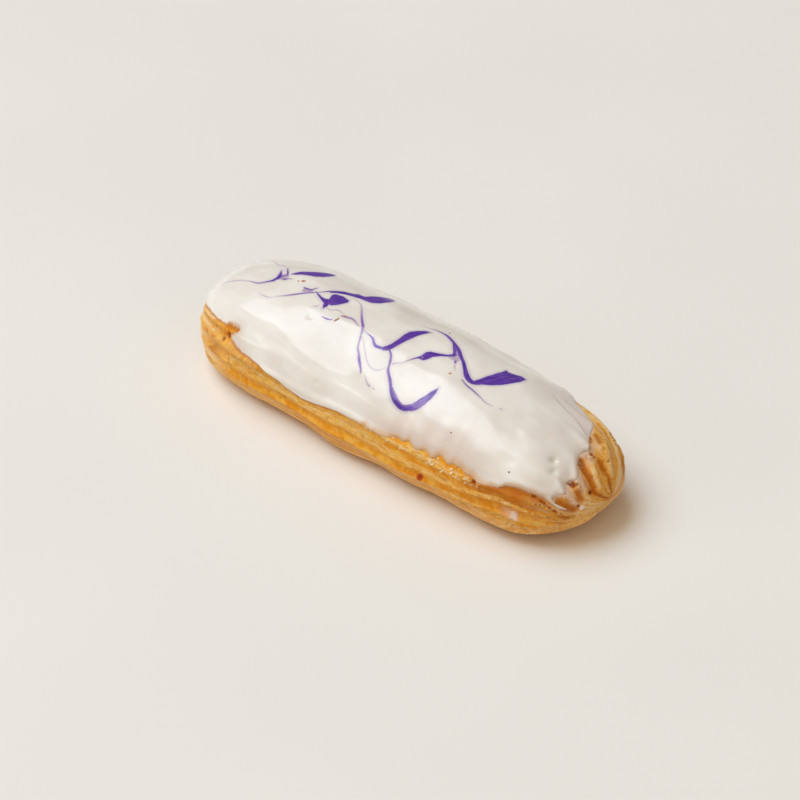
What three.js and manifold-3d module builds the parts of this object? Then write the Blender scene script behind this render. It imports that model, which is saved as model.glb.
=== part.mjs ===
// An iced eclair: a finger of choux pastry piped through a star nozzle, with its top dipped in icing.
// Millimetres, +Z up. +X runs along the finger, and the origin is the middle of its flat underside.

import * as THREE from "three";
import { mergeVertices } from "three/addons/utils/BufferGeometryUtils.js";
import Module from "manifold-3d";

// Driving dimensions of the whole eclair.
const LENGTH = 148.5;
const WIDTH = 50.4; // between the swellings
const HEIGHT = 32.8;

// The crust: one tip is blunt, and the other slopes down from the crown.
const TIP_HEIGHT = 12.4; // of both tips and of the widest line, above the underside
const UNDERSIDE_TRIM = 0.4; // baked flat against the tray
const CROWN_ROUNDNESS = 2.15; // exponent of the section's upper half
const BELLY_ROUNDNESS = 3.6; // exponent of its lower half, which is squarer
const PLAN_BLUNTNESS = { back: 5.9, front: 4.7 };
const CROWN_BLUNTNESS = { back: 5.2, front: 2.35 };
const BELLY_BLUNTNESS = 6;
const BOW = 2.0; // the middle leans towards +Y
const TIP_SWERVE = 3.1; // and so does the +X tip

// The ribs that the nozzle's teeth left, as narrow crests between wide smooth bands.
const RIB_COUNT = 22;
const RIB_HEIGHT = 1.0;
const RIB_SHARPNESS = 2.2;
const FIRST_CREST = THREE.MathUtils.degToRad(180);
const RIBS_FADE_BELOW = { from: -0.55, to: -0.95 }; // sine of the angle round the section

// Swellings from the oven: along the finger, round the section, reach and rise.
const SWELLINGS = [
  { along: 59, round: 211, reach: 9, rise: 1.3 },
  { along: -2, round: 206, reach: 14, rise: 0.5 },
  { along: 36, round: 209, reach: 11, rise: -0.9 },
  { along: -30, round: 345, reach: 13, rise: 0.8 },
  { along: 24, round: 340, reach: 10, rise: -0.7 },
];
const SWELLING_SPAN = THREE.MathUtils.degToRad(28);
const UNEVENNESS = 0.25;

// The icing cap.
const ICING_CROWN = 1.6;
const ICING_LIP = 0.9;
const LIP_SLOPE = 0.55; // how steeply the lip rises from the edge
const CROWN_REACH = 13; // from the edge to where the cap is full
const SEAT_GAP = 0.3; // between the icing and the crust
const RIBS_THROUGH_ICING = 0.3; // share of the rib height that shows on the cap
const ICING_DIVE = 1.2; // how far the cap's surface dives into the crust past its edge
const THINNEST = 0.15;

// Height of the icing's edge on the two long sides and at the tips.
const EDGE = { side: 18.6, tip: 23.7, far: 22.2 };
// Where that edge sags or rises along each side: place, reach and drop.
const NEAR_SAGS = [
  { along: -18, reach: 15, drop: 2.4 },
  { along: 28, reach: 12, drop: -1.4 },
  { along: 65, reach: 5, drop: 2.2 },
];
const FAR_SAGS = [
  { along: -72, reach: 14, drop: 3.8 },
  { along: -34, reach: 12, drop: 1.9 },
  { along: 8, reach: 14, drop: 2.6 },
  { along: 52, reach: 9, drop: -1.8 },
];
const TIP_FINGERS = 3.2; // how much lower the icing runs down the crests at the +X tip

// Facets.
const FACETS_PER_RIB = 3;
const FACETS_ALONG = 54;
const EVEN_SPACING = 0.32; // share of even steps among steps that crowd at the tips
const NUDGE = 1e-3;

const { clamp, lerp, smoothstep } = THREE.MathUtils;
const wasm = await Module();
wasm.setup();

// Share of the full section left at a place along the finger, from -1 at one tip to 1 at the other.
function taper(along, bluntness) {
  return Math.sqrt(Math.max(0, 1 - Math.abs(along) ** bluntness));
}

// How far a rounded square of half width 1 reaches in one direction. Exponent 2 is a circle.
function squircle(cosine, sine, exponent) {
  return (Math.abs(cosine) ** exponent + Math.abs(sine) ** exponent) ** (-1 / exponent);
}

function bump(distance, reach) {
  return Math.exp(-((distance / reach) ** 2));
}

// A point of the bare finger without ribs.
function smoothPoint(along, round) {
  const end = along < 0 ? "back" : "front";
  const crown = HEIGHT - ICING_CROWN + UNDERSIDE_TRIM - RIB_HEIGHT * RIBS_THROUGH_ICING;
  const tip = TIP_HEIGHT + UNDERSIDE_TRIM;
  const cosine = Math.cos(round);
  const sine = Math.sin(round);
  const reach = squircle(cosine, sine, sine < 0 ? BELLY_ROUNDNESS : CROWN_ROUNDNESS);
  const halfWidth = (WIDTH / 2 - RIB_HEIGHT) * taper(along, PLAN_BLUNTNESS[end]);
  const rise =
    sine < 0
      ? tip * taper(along, BELLY_BLUNTNESS)
      : (crown - tip) * taper(along, CROWN_BLUNTNESS[end]);
  const sway = BOW * (1 - along * along) + TIP_SWERVE * Math.max(along, 0) ** 4;
  return new THREE.Vector3(
    (along * LENGTH) / 2,
    sway + halfWidth * cosine * reach,
    tip + rise * sine * reach - UNDERSIDE_TRIM,
  );
}

// The way out of the bare finger at a point of it.
function outward(along, round) {
  if (Math.abs(along) > 1 - NUDGE) return new THREE.Vector3(Math.sign(along), 0, 0);
  const forward = smoothPoint(along + NUDGE / 2, round).sub(smoothPoint(along - NUDGE / 2, round));
  const aside = smoothPoint(along, round + NUDGE).sub(smoothPoint(along, round - NUDGE));
  return forward.cross(aside).negate().normalize();
}

// How far a crest stands out here, from 0 in the bands to 1 on the crests, fading at the tips and below.
function crest(along, round) {
  const wave = 0.5 + 0.5 * Math.cos(RIB_COUNT * (round - FIRST_CREST));
  const below = smoothstep(Math.sin(round), RIBS_FADE_BELOW.to, RIBS_FADE_BELOW.from);
  return wave ** RIB_SHARPNESS * below * Math.sqrt(taper(along, PLAN_BLUNTNESS.front));
}

// The swellings and the gentle unevenness of baked dough.
function oven(along, round) {
  const x = (along * LENGTH) / 2;
  let rise = 0;
  for (const swelling of SWELLINGS) {
    const turn = round - THREE.MathUtils.degToRad(swelling.round);
    const gap = Math.atan2(Math.sin(turn), Math.cos(turn));
    rise += swelling.rise * bump(x - swelling.along, swelling.reach) * bump(gap, SWELLING_SPAN);
  }
  const ripple = Math.sin(0.11 * x + 2 * round + 0.5) + Math.sin(0.23 * x - 3 * round + 1.9);
  return rise + UNEVENNESS * ripple * taper(along, 2);
}

// Height of the icing's edge near a point of the finger.
function edgeHeight(point, along, round) {
  const sag = (sags) => sags.reduce((sum, s) => sum + s.drop * bump(point.x - s.along, s.reach), 0);
  const scallop = 0.45 * Math.sin(0.52 * point.x + 0.8) + 0.35 * Math.sin(0.83 * point.x + 2.1);
  const near = lerp(EDGE.tip, EDGE.side, smoothstep(point.x, -50, -42)) - sag(NEAR_SAGS);
  const far = EDGE.far - sag(FAR_SAGS);
  const side = lerp(near, far, smoothstep(point.y, -13, 2)) + scallop;
  const atTip = smoothstep(along, 0.8, 0.9);
  return side - TIP_FINGERS * atTip * crest(along, round);
}

// Thickness of the icing over a rib of the given height, at a distance inside the icing's edge. Past the
// edge it is negative. It is never so thin that the edge would run through a corner of the facets.
function icingThickness(inside, rib) {
  const lip = clamp(LIP_SLOPE * inside, -ICING_DIVE, ICING_LIP);
  const crown = (ICING_CROWN - ICING_LIP - SEAT_GAP) * smoothstep(inside, 0, CROWN_REACH);
  const levelled = rib * (1 - RIBS_THROUGH_ICING) * smoothstep(inside, 0, CROWN_REACH / 2);
  const thickness = lip + crown - levelled;
  return (thickness < 0 ? -1 : 1) * Math.max(Math.abs(thickness), THINNEST);
}

// A closed finger whose surface stands off the bare one by the given relief.
function finger(relief) {
  const geometry = new THREE.SphereGeometry(1, RIB_COUNT * FACETS_PER_RIB, FACETS_ALONG);
  geometry.rotateZ(-Math.PI / 2).deleteAttribute("normal").deleteAttribute("uv");
  const closed = mergeVertices(geometry);
  const position = closed.getAttribute("position");
  const point = new THREE.Vector3();
  for (let i = 0; i < position.count; i++) {
    point.fromBufferAttribute(position, i);
    const polar = Math.asin(clamp(point.x, -1, 1));
    const along = lerp(Math.sin(polar), polar / (Math.PI / 2), EVEN_SPACING);
    const round = Math.atan2(point.z, point.y) + FIRST_CREST;
    const bare = smoothPoint(along, round);
    point.copy(bare).addScaledVector(outward(along, round), relief(along, round, bare));
    position.setXYZ(i, point.x, point.y, Math.max(0, point.z));
  }
  return closed;
}

function solid(geometry) {
  return new wasm.Manifold(
    new wasm.Mesh({
      numProp: 3,
      vertProperties: geometry.getAttribute("position").array,
      triVerts: new Uint32Array(geometry.index.array),
    }),
  );
}

// The largest single body of a solid, as a geometry.
function largestBody(whole) {
  const body = whole.decompose().reduce((a, b) => (a.volume() > b.volume() ? a : b));
  const mesh = body.getMesh();
  return new THREE.BufferGeometry()
    .setAttribute("position", new THREE.BufferAttribute(mesh.vertProperties, 3))
    .setIndex(new THREE.BufferAttribute(mesh.triVerts, 1));
}

function crustRelief(along, round) {
  return RIB_HEIGHT * crest(along, round) + oven(along, round);
}

function grownCrustRelief(along, round) {
  return crustRelief(along, round) + SEAT_GAP;
}

// The icing clings to the ribs at its edge and smooths them over further in.
function icingRelief(along, round, bare) {
  const inside = bare.z - edgeHeight(bare, along, round);
  const thickness = icingThickness(inside, RIB_HEIGHT * crest(along, round));
  return grownCrustRelief(along, round) + thickness;
}

function part(name, geometry, color, roughness) {
  const mesh = new THREE.Mesh(
    geometry,
    new THREE.MeshStandardMaterial({ color, roughness, metalness: 0 }),
  );
  mesh.name = name;
  return mesh;
}

const crust = finger(crustRelief);
const icing = largestBody(solid(finger(icingRelief)).subtract(solid(finger(grownCrustRelief))));

// The bow and the swellings leave the finger off its middle line, so both parts move back over it.
crust.computeBoundingBox();
const middle = crust.boundingBox.getCenter(new THREE.Vector3());
crust.translate(-middle.x, -middle.y, 0);
icing.translate(-middle.x, -middle.y, 0);

const eclair = new THREE.Group();
eclair.add(part("choux", crust, 0xd6983f, 0.6));
eclair.add(part("icing", icing, 0xeae3da, 0.22));

export default eclair;
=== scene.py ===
"""An iced eclair on a plain pale floor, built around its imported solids.

The finger is choux pastry, piped through a star nozzle and baked: smooth golden bands lie between torn,
pale crests. Its top was dipped in white icing, and purple was drawn through the icing while it was wet.
Shapes are worked out in millimetres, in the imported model's own frame, and turned into metres at the end.
"""

import logging
from collections.abc import Callable, Iterable
from dataclasses import astuple, dataclass
from enum import Enum, IntEnum
from math import cos, pi, radians, sin

import bmesh
import bpy
import numpy as np
from mathutils import Matrix, Vector

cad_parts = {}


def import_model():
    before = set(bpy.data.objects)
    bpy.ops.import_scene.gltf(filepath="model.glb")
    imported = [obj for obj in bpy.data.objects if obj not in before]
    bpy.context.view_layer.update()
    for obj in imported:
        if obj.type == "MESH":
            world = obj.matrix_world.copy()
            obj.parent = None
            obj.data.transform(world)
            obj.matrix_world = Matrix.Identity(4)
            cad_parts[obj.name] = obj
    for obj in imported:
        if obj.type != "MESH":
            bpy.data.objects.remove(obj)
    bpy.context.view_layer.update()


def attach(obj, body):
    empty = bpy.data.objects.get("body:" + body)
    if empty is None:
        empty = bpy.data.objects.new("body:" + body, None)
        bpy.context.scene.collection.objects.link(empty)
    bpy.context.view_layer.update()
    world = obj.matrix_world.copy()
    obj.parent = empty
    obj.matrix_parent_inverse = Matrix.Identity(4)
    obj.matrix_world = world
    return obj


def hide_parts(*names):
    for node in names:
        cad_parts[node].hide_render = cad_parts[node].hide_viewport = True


Array = np.ndarray
Pair = tuple[float, float]
Triple = tuple[float, float, float]
Colour = Triple
Line = tuple[Pair, ...]
Stops = tuple[Triple, ...]
Reading = tuple[Array, Array, Array, Array]
Socket = bpy.types.NodeSocket

LOG = logging.getLogger("eclair")
METRES = 0.001
DENT_ROUNDNESS = 0.8
BODY = "root"


def ease(share: Array) -> Array:
    """Turns an even rise from 0 to 1 into one that starts and ends softly."""
    return share * share * (3.0 - 2.0 * share)


def smooth(value: Array, low: float, high: float) -> Array:
    """Rises smoothly from 0 at low to 1 at high, or falls where high is the smaller."""
    return ease(np.clip((value - low) / (high - low), 0.0, 1.0))


def bump(distance: Array, reach: float) -> Array:
    """A round bump of height 1 that has mostly died away at its reach."""
    return np.exp(-((distance / reach) ** 2))


def seen(red: float, green: float, blue: float) -> Colour:
    """Turns a colour as the eye reads it, from 0 to 255, into the light that a shader works with."""
    shares = np.array((red, green, blue)) / 255.0
    return tuple(np.where(shares <= 0.04045, shares / 12.92, ((shares + 0.055) / 1.055) ** 2.4).tolist())


def within(value: Array, bounds: Pair) -> Array:
    """Whether values lie between two bounds."""
    return (value > bounds[0]) & (value < bounds[1])


@dataclass(frozen=True)
class Span:
    """A stretch of some measure, from where a thing is missing to where it is full."""

    none: float
    full: float

    def __call__(self, value: Array) -> Array:
        """How much of the thing there is, from 0 to 1."""
        return smooth(value, self.none, self.full)


class Seed(IntEnum):
    """What each kind of noise starts from, so that it is the same in each run."""

    DOUGH = 3
    FIBRE = 5
    THREAD = 7
    EDGE = 11
    WAVE = 19
    SWELL = 23
    LUMP = 29
    RIPPLE = 31
    SPRINKLE = 41


class Grain:
    """Smooth seeded noise for arrays of points, between -1 and 1, with features about one unit apart."""

    TABLE_SIZE = 4096
    PRIMES = (73856093, 19349663, 83492791)

    def __init__(self, seed: Seed) -> None:
        """Draws the table of values that the noise runs through."""
        self.table = np.random.default_rng(seed).uniform(-1.0, 1.0, self.TABLE_SIZE)

    def __call__(self, points: Array) -> Array:
        """Reads the noise at points.

        Args:
            points: An array of rows of three coordinates.

        Returns:
            One value for each row.
        """
        cell = np.floor(points).astype(np.int64)
        part = points - cell
        blend = ease(part)
        total = np.zeros(len(points))
        for corner in np.ndindex(2, 2, 2):
            keys = (cell + corner) * np.array(self.PRIMES)
            key = (keys[:, 0] ^ keys[:, 1] ^ keys[:, 2]) % self.TABLE_SIZE
            weight = np.where(np.array(corner) == 1, blend, 1.0 - blend).prod(axis=1)
            total += weight * self.table[key]
        return total


class Crowding(Enum):
    """Where round the section a mesh has most of its vertices, and how strongly they crowd there."""

    SIDES = 0.38
    TOP = 0.55

    def turn(self, azimuth: Array) -> Array:
        """Moves even angles round the section, in radians, closer together where they are wanted."""
        pull = -np.sin(2.0 * azimuth) if self is Crowding.SIDES else np.cos(azimuth)
        return azimuth + self.value * pull


@dataclass(frozen=True)
class Places:
    """Points on the bare finger, as arrays with one row for each vertex.

    along runs from -1 at one tip to 1 at the other. turn is the angle round the section, in radians, 0 at
    +Y and a quarter turn at the top. bare is the point itself and out the way outwards from it. flow is for
    patterns: its first coordinate is the length along a rib, and the other two are the point's own Y and Z.
    """

    along: Array
    turn: Array
    bare: Array
    out: Array
    flow: Array

    @property
    def x(self) -> Array:
        """How far along the finger the places are, in millimetres."""
        return self.bare[:, 0]

    @property
    def y(self) -> Array:
        """How far across the finger they are, in millimetres."""
        return self.bare[:, 1]

    @property
    def z(self) -> Array:
        """How high they are, in millimetres."""
        return self.bare[:, 2]

    @property
    def degrees(self) -> Array:
        """The angles round the section in degrees, from 0 to 360."""
        return np.degrees(self.turn) % 360.0

    @property
    def from_below(self) -> Array:
        """The angles in degrees from -90 to 270, so that they only jump underneath."""
        return (np.degrees(self.turn) + 90.0) % 360.0 - 90.0

    def distance(self, point: Array) -> Array:
        """How far the places are from a point, in millimetres."""
        return np.linalg.norm(self.bare - point, axis=1)


@dataclass(frozen=True)
class Texture:
    """Noise on the finger: the lengths of its features along a rib and in Y and Z, and how high it is.

    shift moves the noise on, which makes it another one.
    """

    seed: Seed
    lengths: Triple
    height: float = 1.0
    shift: float = 0.0

    def __call__(self, places: Places) -> Array:
        """Reads the noise at places."""
        return self.height * Grain(self.seed)(places.flow / np.array(self.lengths) + self.shift)


@dataclass(frozen=True)
class Loaf:
    """The bare form of the finger, without ribs or icing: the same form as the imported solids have.

    Sizes are in millimetres. A pair holds the value of the blunt tip, and then that of the sloping tip.
    """

    length: float = 148.5
    width: float = 48.4
    crown: float = 30.9
    tip: float = 12.4
    trim: float = 0.4
    crown_roundness: float = 2.15
    belly_roundness: float = 3.6
    plan_bluntness: Pair = (5.9, 4.7)
    crown_bluntness: Pair = (5.2, 2.35)
    belly_bluntness: float = 6.0
    bow: float = 2.0
    swerve: float = 3.1
    centring: float = -1.975
    sloping_tip: Span = Span(0.76, 0.88)
    even_spacing: float = 0.32
    stations: int = 2001
    nudge: float = 1e-3
    shortest: float = 1e-12

    @staticmethod
    def taper(along: Array, bluntness: Array | float) -> Array:
        """Share of the full section that is left at a place along the finger."""
        return np.sqrt(np.maximum(0.0, 1.0 - np.abs(along) ** bluntness))

    def point(self, along: Array, turn: Array) -> Array:
        """Finds points of the bare finger.

        Args:
            along: Places along the finger, from -1 to 1.
            turn: Angles round the section, in radians.

        Returns:
            One row of three coordinates for each place.
        """
        cosine, sine = np.cos(turn), np.sin(turn)
        end = (along >= 0.0).astype(int)
        upper = sine >= 0.0
        exponent = np.where(upper, self.crown_roundness, self.belly_roundness)
        reach = (np.abs(cosine) ** exponent + np.abs(sine) ** exponent) ** (-1.0 / exponent)
        half_width = self.width / 2.0 * self.taper(along, np.array(self.plan_bluntness)[end])
        tip = self.tip + self.trim
        over = (self.crown + self.trim - tip) * self.taper(along, np.array(self.crown_bluntness)[end])
        under = tip * self.taper(along, self.belly_bluntness)
        sway = self.bow * (1.0 - along**2) + self.swerve * np.maximum(along, 0.0) ** 4 + self.centring
        y = sway + half_width * cosine * reach
        z = tip + np.where(upper, over, under) * sine * reach - self.trim
        return np.column_stack((along * self.length / 2.0, y, z))

    def outward(self, along: Array, turn: Array) -> Array:
        """Finds the way outwards from points of the bare finger.

        Args:
            along: Places along the finger, from -1 to 1.
            turn: Angles round the section, in radians.

        Returns:
            Rows of unit length.
        """
        inner = np.clip(along, -1.0 + self.nudge, 1.0 - self.nudge)
        half = self.nudge / 2.0
        forward = self.point(inner + half, turn) - self.point(inner - half, turn)
        aside = self.point(inner, turn + self.nudge) - self.point(inner, turn - self.nudge)
        out = np.cross(aside, forward)
        out /= np.maximum(np.linalg.norm(out, axis=1, keepdims=True), self.shortest)
        at_tip = np.abs(along) > 1.0 - self.nudge
        out[at_tip] = np.column_stack((np.sign(along), 0.0 * along, 0.0 * along))[at_tip]
        return out

    def run(self, along: Array) -> Array:
        """Length of the way along a rib on the widest line, from the middle of the finger.

        Args:
            along: Places along the finger, from -1 to 1.

        Returns:
            The lengths, in millimetres.
        """
        stations = np.sin(np.linspace(-pi / 2.0, pi / 2.0, self.stations))
        line = self.point(stations, np.full_like(stations, pi))
        steps = np.linalg.norm(np.diff(line, axis=0), axis=1)
        length = np.concatenate(((0.0,), np.cumsum(steps)))
        return np.interp(along, stations, length - length[len(length) // 2])

    def places(self, ball: Array, crowding: Crowding) -> Places:
        """Lays the points of a ball, with its poles on X, on the bare finger.

        Args:
            ball: Rows of three coordinates, of which only the direction counts.
            crowding: Where the vertices go round the section.

        Returns:
            Their places on the finger.
        """
        unit = ball / np.linalg.norm(ball, axis=1, keepdims=True)
        polar = np.arcsin(np.clip(unit[:, 0], -1.0, 1.0))
        along = (1.0 - self.even_spacing) * np.sin(polar) + self.even_spacing * polar / (pi / 2.0)
        turn = crowding.turn(np.arctan2(unit[:, 2], unit[:, 1]))
        return self.at(along, turn)

    def at(self, along: Array, turn: Array) -> Places:
        """Gathers all that is known of places.

        Args:
            along: Places along the finger, from -1 to 1.
            turn: Angles round the section, in radians.

        Returns:
            The places.
        """
        bare = self.point(along, turn)
        flow = np.column_stack((self.run(along), bare[:, 1:]))
        return Places(along, turn, bare, self.outward(along, turn), flow)

    def spot(self, x: float, turn: float) -> Places:
        """The single place at a distance along the finger, in millimetres, and an angle in degrees."""
        return self.at(np.array((2.0 * x / self.length,)), np.array((radians(turn),)))


@dataclass(frozen=True)
class Swelling:
    """A soft rise or hollow round a spot: along and reach in mm, turn in degrees, and its height."""

    along: float
    turn: float
    reach: float
    rise: float


@dataclass(frozen=True)
class Stripe:
    """A stripe of torn, pale dough: stops of along in mm, and of turn and half breadth in degrees."""

    stops: Stops


@dataclass(frozen=True)
class Ribs:
    """The crests that the nozzle's teeth left, and the slow unevenness of the baked dough."""

    crests: tuple[float, ...] = (
        -82.0, -65.5, -49.0, -32.7, -16.4, 0.0, 16.4, 34.0, 55.0, 79.0,
        102.0, 127.5, 148.0, 165.0, 180.0, 196.5, 213.0, 229.0, 245.0, 262.0,
    )
    stripes: tuple[Stripe, ...] = (
        # The near side, from the icing down.
        Stripe(((6.0, 167.0, 1.8), (20.0, 165.5, 2.6), (32.0, 165.0, 2.8), (44.0, 163.0, 2.0))),
        Stripe(
            (
                (-50.0, 175.0, 7.0), (-44.0, 175.5, 10.0), (-35.0, 178.0, 11.0), (-22.0, 181.0, 10.0),
                (-9.0, 179.0, 9.0), (4.0, 178.0, 8.5), (12.0, 178.5, 7.5), (22.0, 180.0, 5.5),
                (32.0, 178.5, 4.0), (42.0, 176.5, 3.4),
                (52.0, 173.0, 3.0), (58.0, 175.0, 3.0), (63.0, 180.0, 2.4),
            )
        ),
        Stripe(
            (
                (-46.0, 206.0, 1.2), (-39.0, 201.5, 1.2), (-31.0, 199.0, 1.3), (-21.0, 204.5, 1.4),
                (-14.0, 204.5, 1.4), (-6.0, 199.0, 1.4), (3.0, 198.0, 1.4), (11.0, 200.0, 1.4),
                (21.0, 197.5, 1.5), (34.0, 197.0, 1.6), (44.0, 193.0, 1.6), (58.0, 193.0, 1.6),
            )
        ),
        Stripe(((34.0, 206.0, 2.6), (43.0, 202.0, 2.6), (51.0, 197.0, 2.6), (60.0, 206.0, 2.4))),
        # The far side.
        Stripe(
            (
                (-62.0, 17.0, 5.0), (-20.0, 15.0, 7.5), (10.0, 13.0, 8.0), (40.0, 15.0, 6.0),
                (60.0, 15.0, 4.0),
            )
        ),
        Stripe(((-60.0, -17.0, 1.4), (-10.0, -15.0, 1.6), (25.0, -18.0, 1.6), (60.0, -16.0, 1.8))),
    )
    height: float = 1.0
    sharpness: float = 2.2
    wander: Texture = Texture(Seed.DOUGH, (17.0, 6.0, 6.0), 0.13)
    crest_share: float = 0.8
    crest_sway: Texture = Texture(Seed.DOUGH, (11.0, 5.0, 5.0), 0.4, 9.0)
    # Where the crests crowd upwards, by degrees, and where one under the icing is worn down, by a share.
    pinch: Swelling = Swelling(52.0, 185.0, 11.0, 6.0)
    sunk: Swelling = Swelling(38.0, 148.0, 20.0, 0.85)
    sunk_span: float = 9.0
    # Where the crests stand out in full: by the sine of the turn, and along the finger.
    above: Span = Span(-0.95, -0.55)
    before_tip: Span = Span(0.995, 0.9)
    tip_bluntness: float = 4.7
    # The crests gather at a point below the middle of the sloping tip.
    swirl_turn: float = 212.0
    swirl_start: float = 0.85
    swirl_reach: float = 0.85
    swirl_power: float = 1.2
    # How the stripes stray, and how soft their sides and ends are.
    stray: Texture = Texture(Seed.DOUGH, (13.0, 5.0, 5.0), 1.8, 3.0)
    stripe_core: float = 0.3
    stripe_end: float = 3.0
    # The unevenness: for each ripple how it runs along the finger, how it runs round it, and its start.
    unevenness: float = 0.25
    ripples: Stops = ((0.11, 2.0, 0.5), (0.23, -3.0, 1.9))
    ripple_bluntness: float = 2.0
    swelling_span: float = 28.0
    swellings: tuple[Swelling, ...] = (
        Swelling(59.0, 211.0, 9.0, 1.3), Swelling(-2.0, 206.0, 14.0, 0.5),
        Swelling(36.0, 209.0, 11.0, -0.4), Swelling(-30.0, 345.0, 13.0, 0.8),
        Swelling(24.0, 340.0, 10.0, -0.7),
    )

    def angle(self, places: Places) -> Array:
        """Angle in which the crests are even. At the +X tip they gather below the tip's middle.

        Args:
            places: Where to read it.

        Returns:
            The angle at each place, in radians.
        """
        share = np.clip((places.along - self.swirl_start) / (1.0 - self.swirl_start), 0.0, 1.0)
        shift = self.swirl_reach * share**self.swirl_power
        lean = radians(self.swirl_turn)
        across = np.cos(places.turn) - shift * cos(lean)
        up = np.sin(places.turn) - shift * sin(lean)
        return np.arctan2(up, across)

    def phase(self, places: Places) -> Array:
        """Finds how places lie between the crests.

        Args:
            places: Where to read it.

        Returns:
            0 on a crest, and half a unit away in the middle of a band.
        """
        turn = (np.degrees(self.angle(places)) + 90.0) % 360.0 - 90.0
        lifted = bump(places.x - self.pinch.along, self.pinch.reach)
        turn += self.pinch.rise * lifted * bump(turn - self.pinch.turn, self.swelling_span)
        ribs = np.interp(turn, self.crests, np.arange(len(self.crests)))
        ribs += self.wander(places)
        return ribs - np.round(ribs)

    def crest(self, places: Places) -> Array:
        """How far a crest stands out, fading at the tips and underneath.

        Args:
            places: Where to read it.

        Returns:
            A share at each place, from 0 in the bands to 1.
        """
        wave = 0.5 + 0.5 * np.cos(2.0 * pi * self.phase(places))
        full = self.above(np.sin(places.turn)) * self.before_tip(places.along)
        beside = bump(places.degrees - self.sunk.turn, self.sunk_span)
        left = 1.0 - self.sunk.rise * beside * bump(places.x - self.sunk.along, self.sunk.reach)
        return wave**self.sharpness * full * left * np.sqrt(Loaf.taper(places.along, self.tip_bluntness))

    def stripe(self, places: Places) -> Array:
        """How torn and pale the crust is.

        Args:
            places: Where to read it.

        Returns:
            A share at each place, from 0 in the golden bands to 1 in the middle of a stripe.
        """
        x = places.x
        turn = places.from_below + self.stray(places)
        total = np.zeros(len(x))
        for stripe in self.stripes:
            along, middle, breadth = np.array(stripe.stops).T
            half = np.interp(x, along, breadth)
            beside = smooth(np.abs(turn - np.interp(x, along, middle)), half, self.stripe_core * half)
            begun = smooth(x, along[0] - self.stripe_end, along[0] + self.stripe_end)
            unfinished = smooth(x, along[-1] + self.stripe_end, along[-1] - self.stripe_end)
            total = np.maximum(total, beside * (begun * unfinished))
        return total

    def rise(self, places: Places, crest: Array) -> Array:
        """How far the crust stands off the bare finger, without its torn surface, in millimetres."""
        swell = self.crest_share + self.crest_sway(places)
        return self.height * crest * swell + self.oven(places)

    def oven(self, places: Places) -> Array:
        """The swellings and the gentle unevenness.

        Args:
            places: Where to read it.

        Returns:
            The height at each place, in millimetres.
        """
        x = places.x
        rise = np.zeros(len(x))
        for swelling in self.swellings:
            turn = places.turn - radians(swelling.turn)
            gap = np.degrees(np.arctan2(np.sin(turn), np.cos(turn)))
            rise += swelling.rise * bump(x - swelling.along, swelling.reach) * bump(gap, self.swelling_span)
        waves = (np.sin(along * x + turns * places.turn + start) for along, turns, start in self.ripples)
        return rise + self.unevenness * sum(waves) * Loaf.taper(places.along, self.ripple_bluntness)


@dataclass(frozen=True)
class Sag:
    """A place where the icing's edge hangs lower, or higher where drop is negative, in millimetres."""

    along: float
    reach: float
    drop: float


@dataclass(frozen=True)
class Fray:
    """Small turns of the icing's edge: how deep, how much deeper where it is loose, and their noise."""

    depth: float
    extra: float
    noise: Texture


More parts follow.
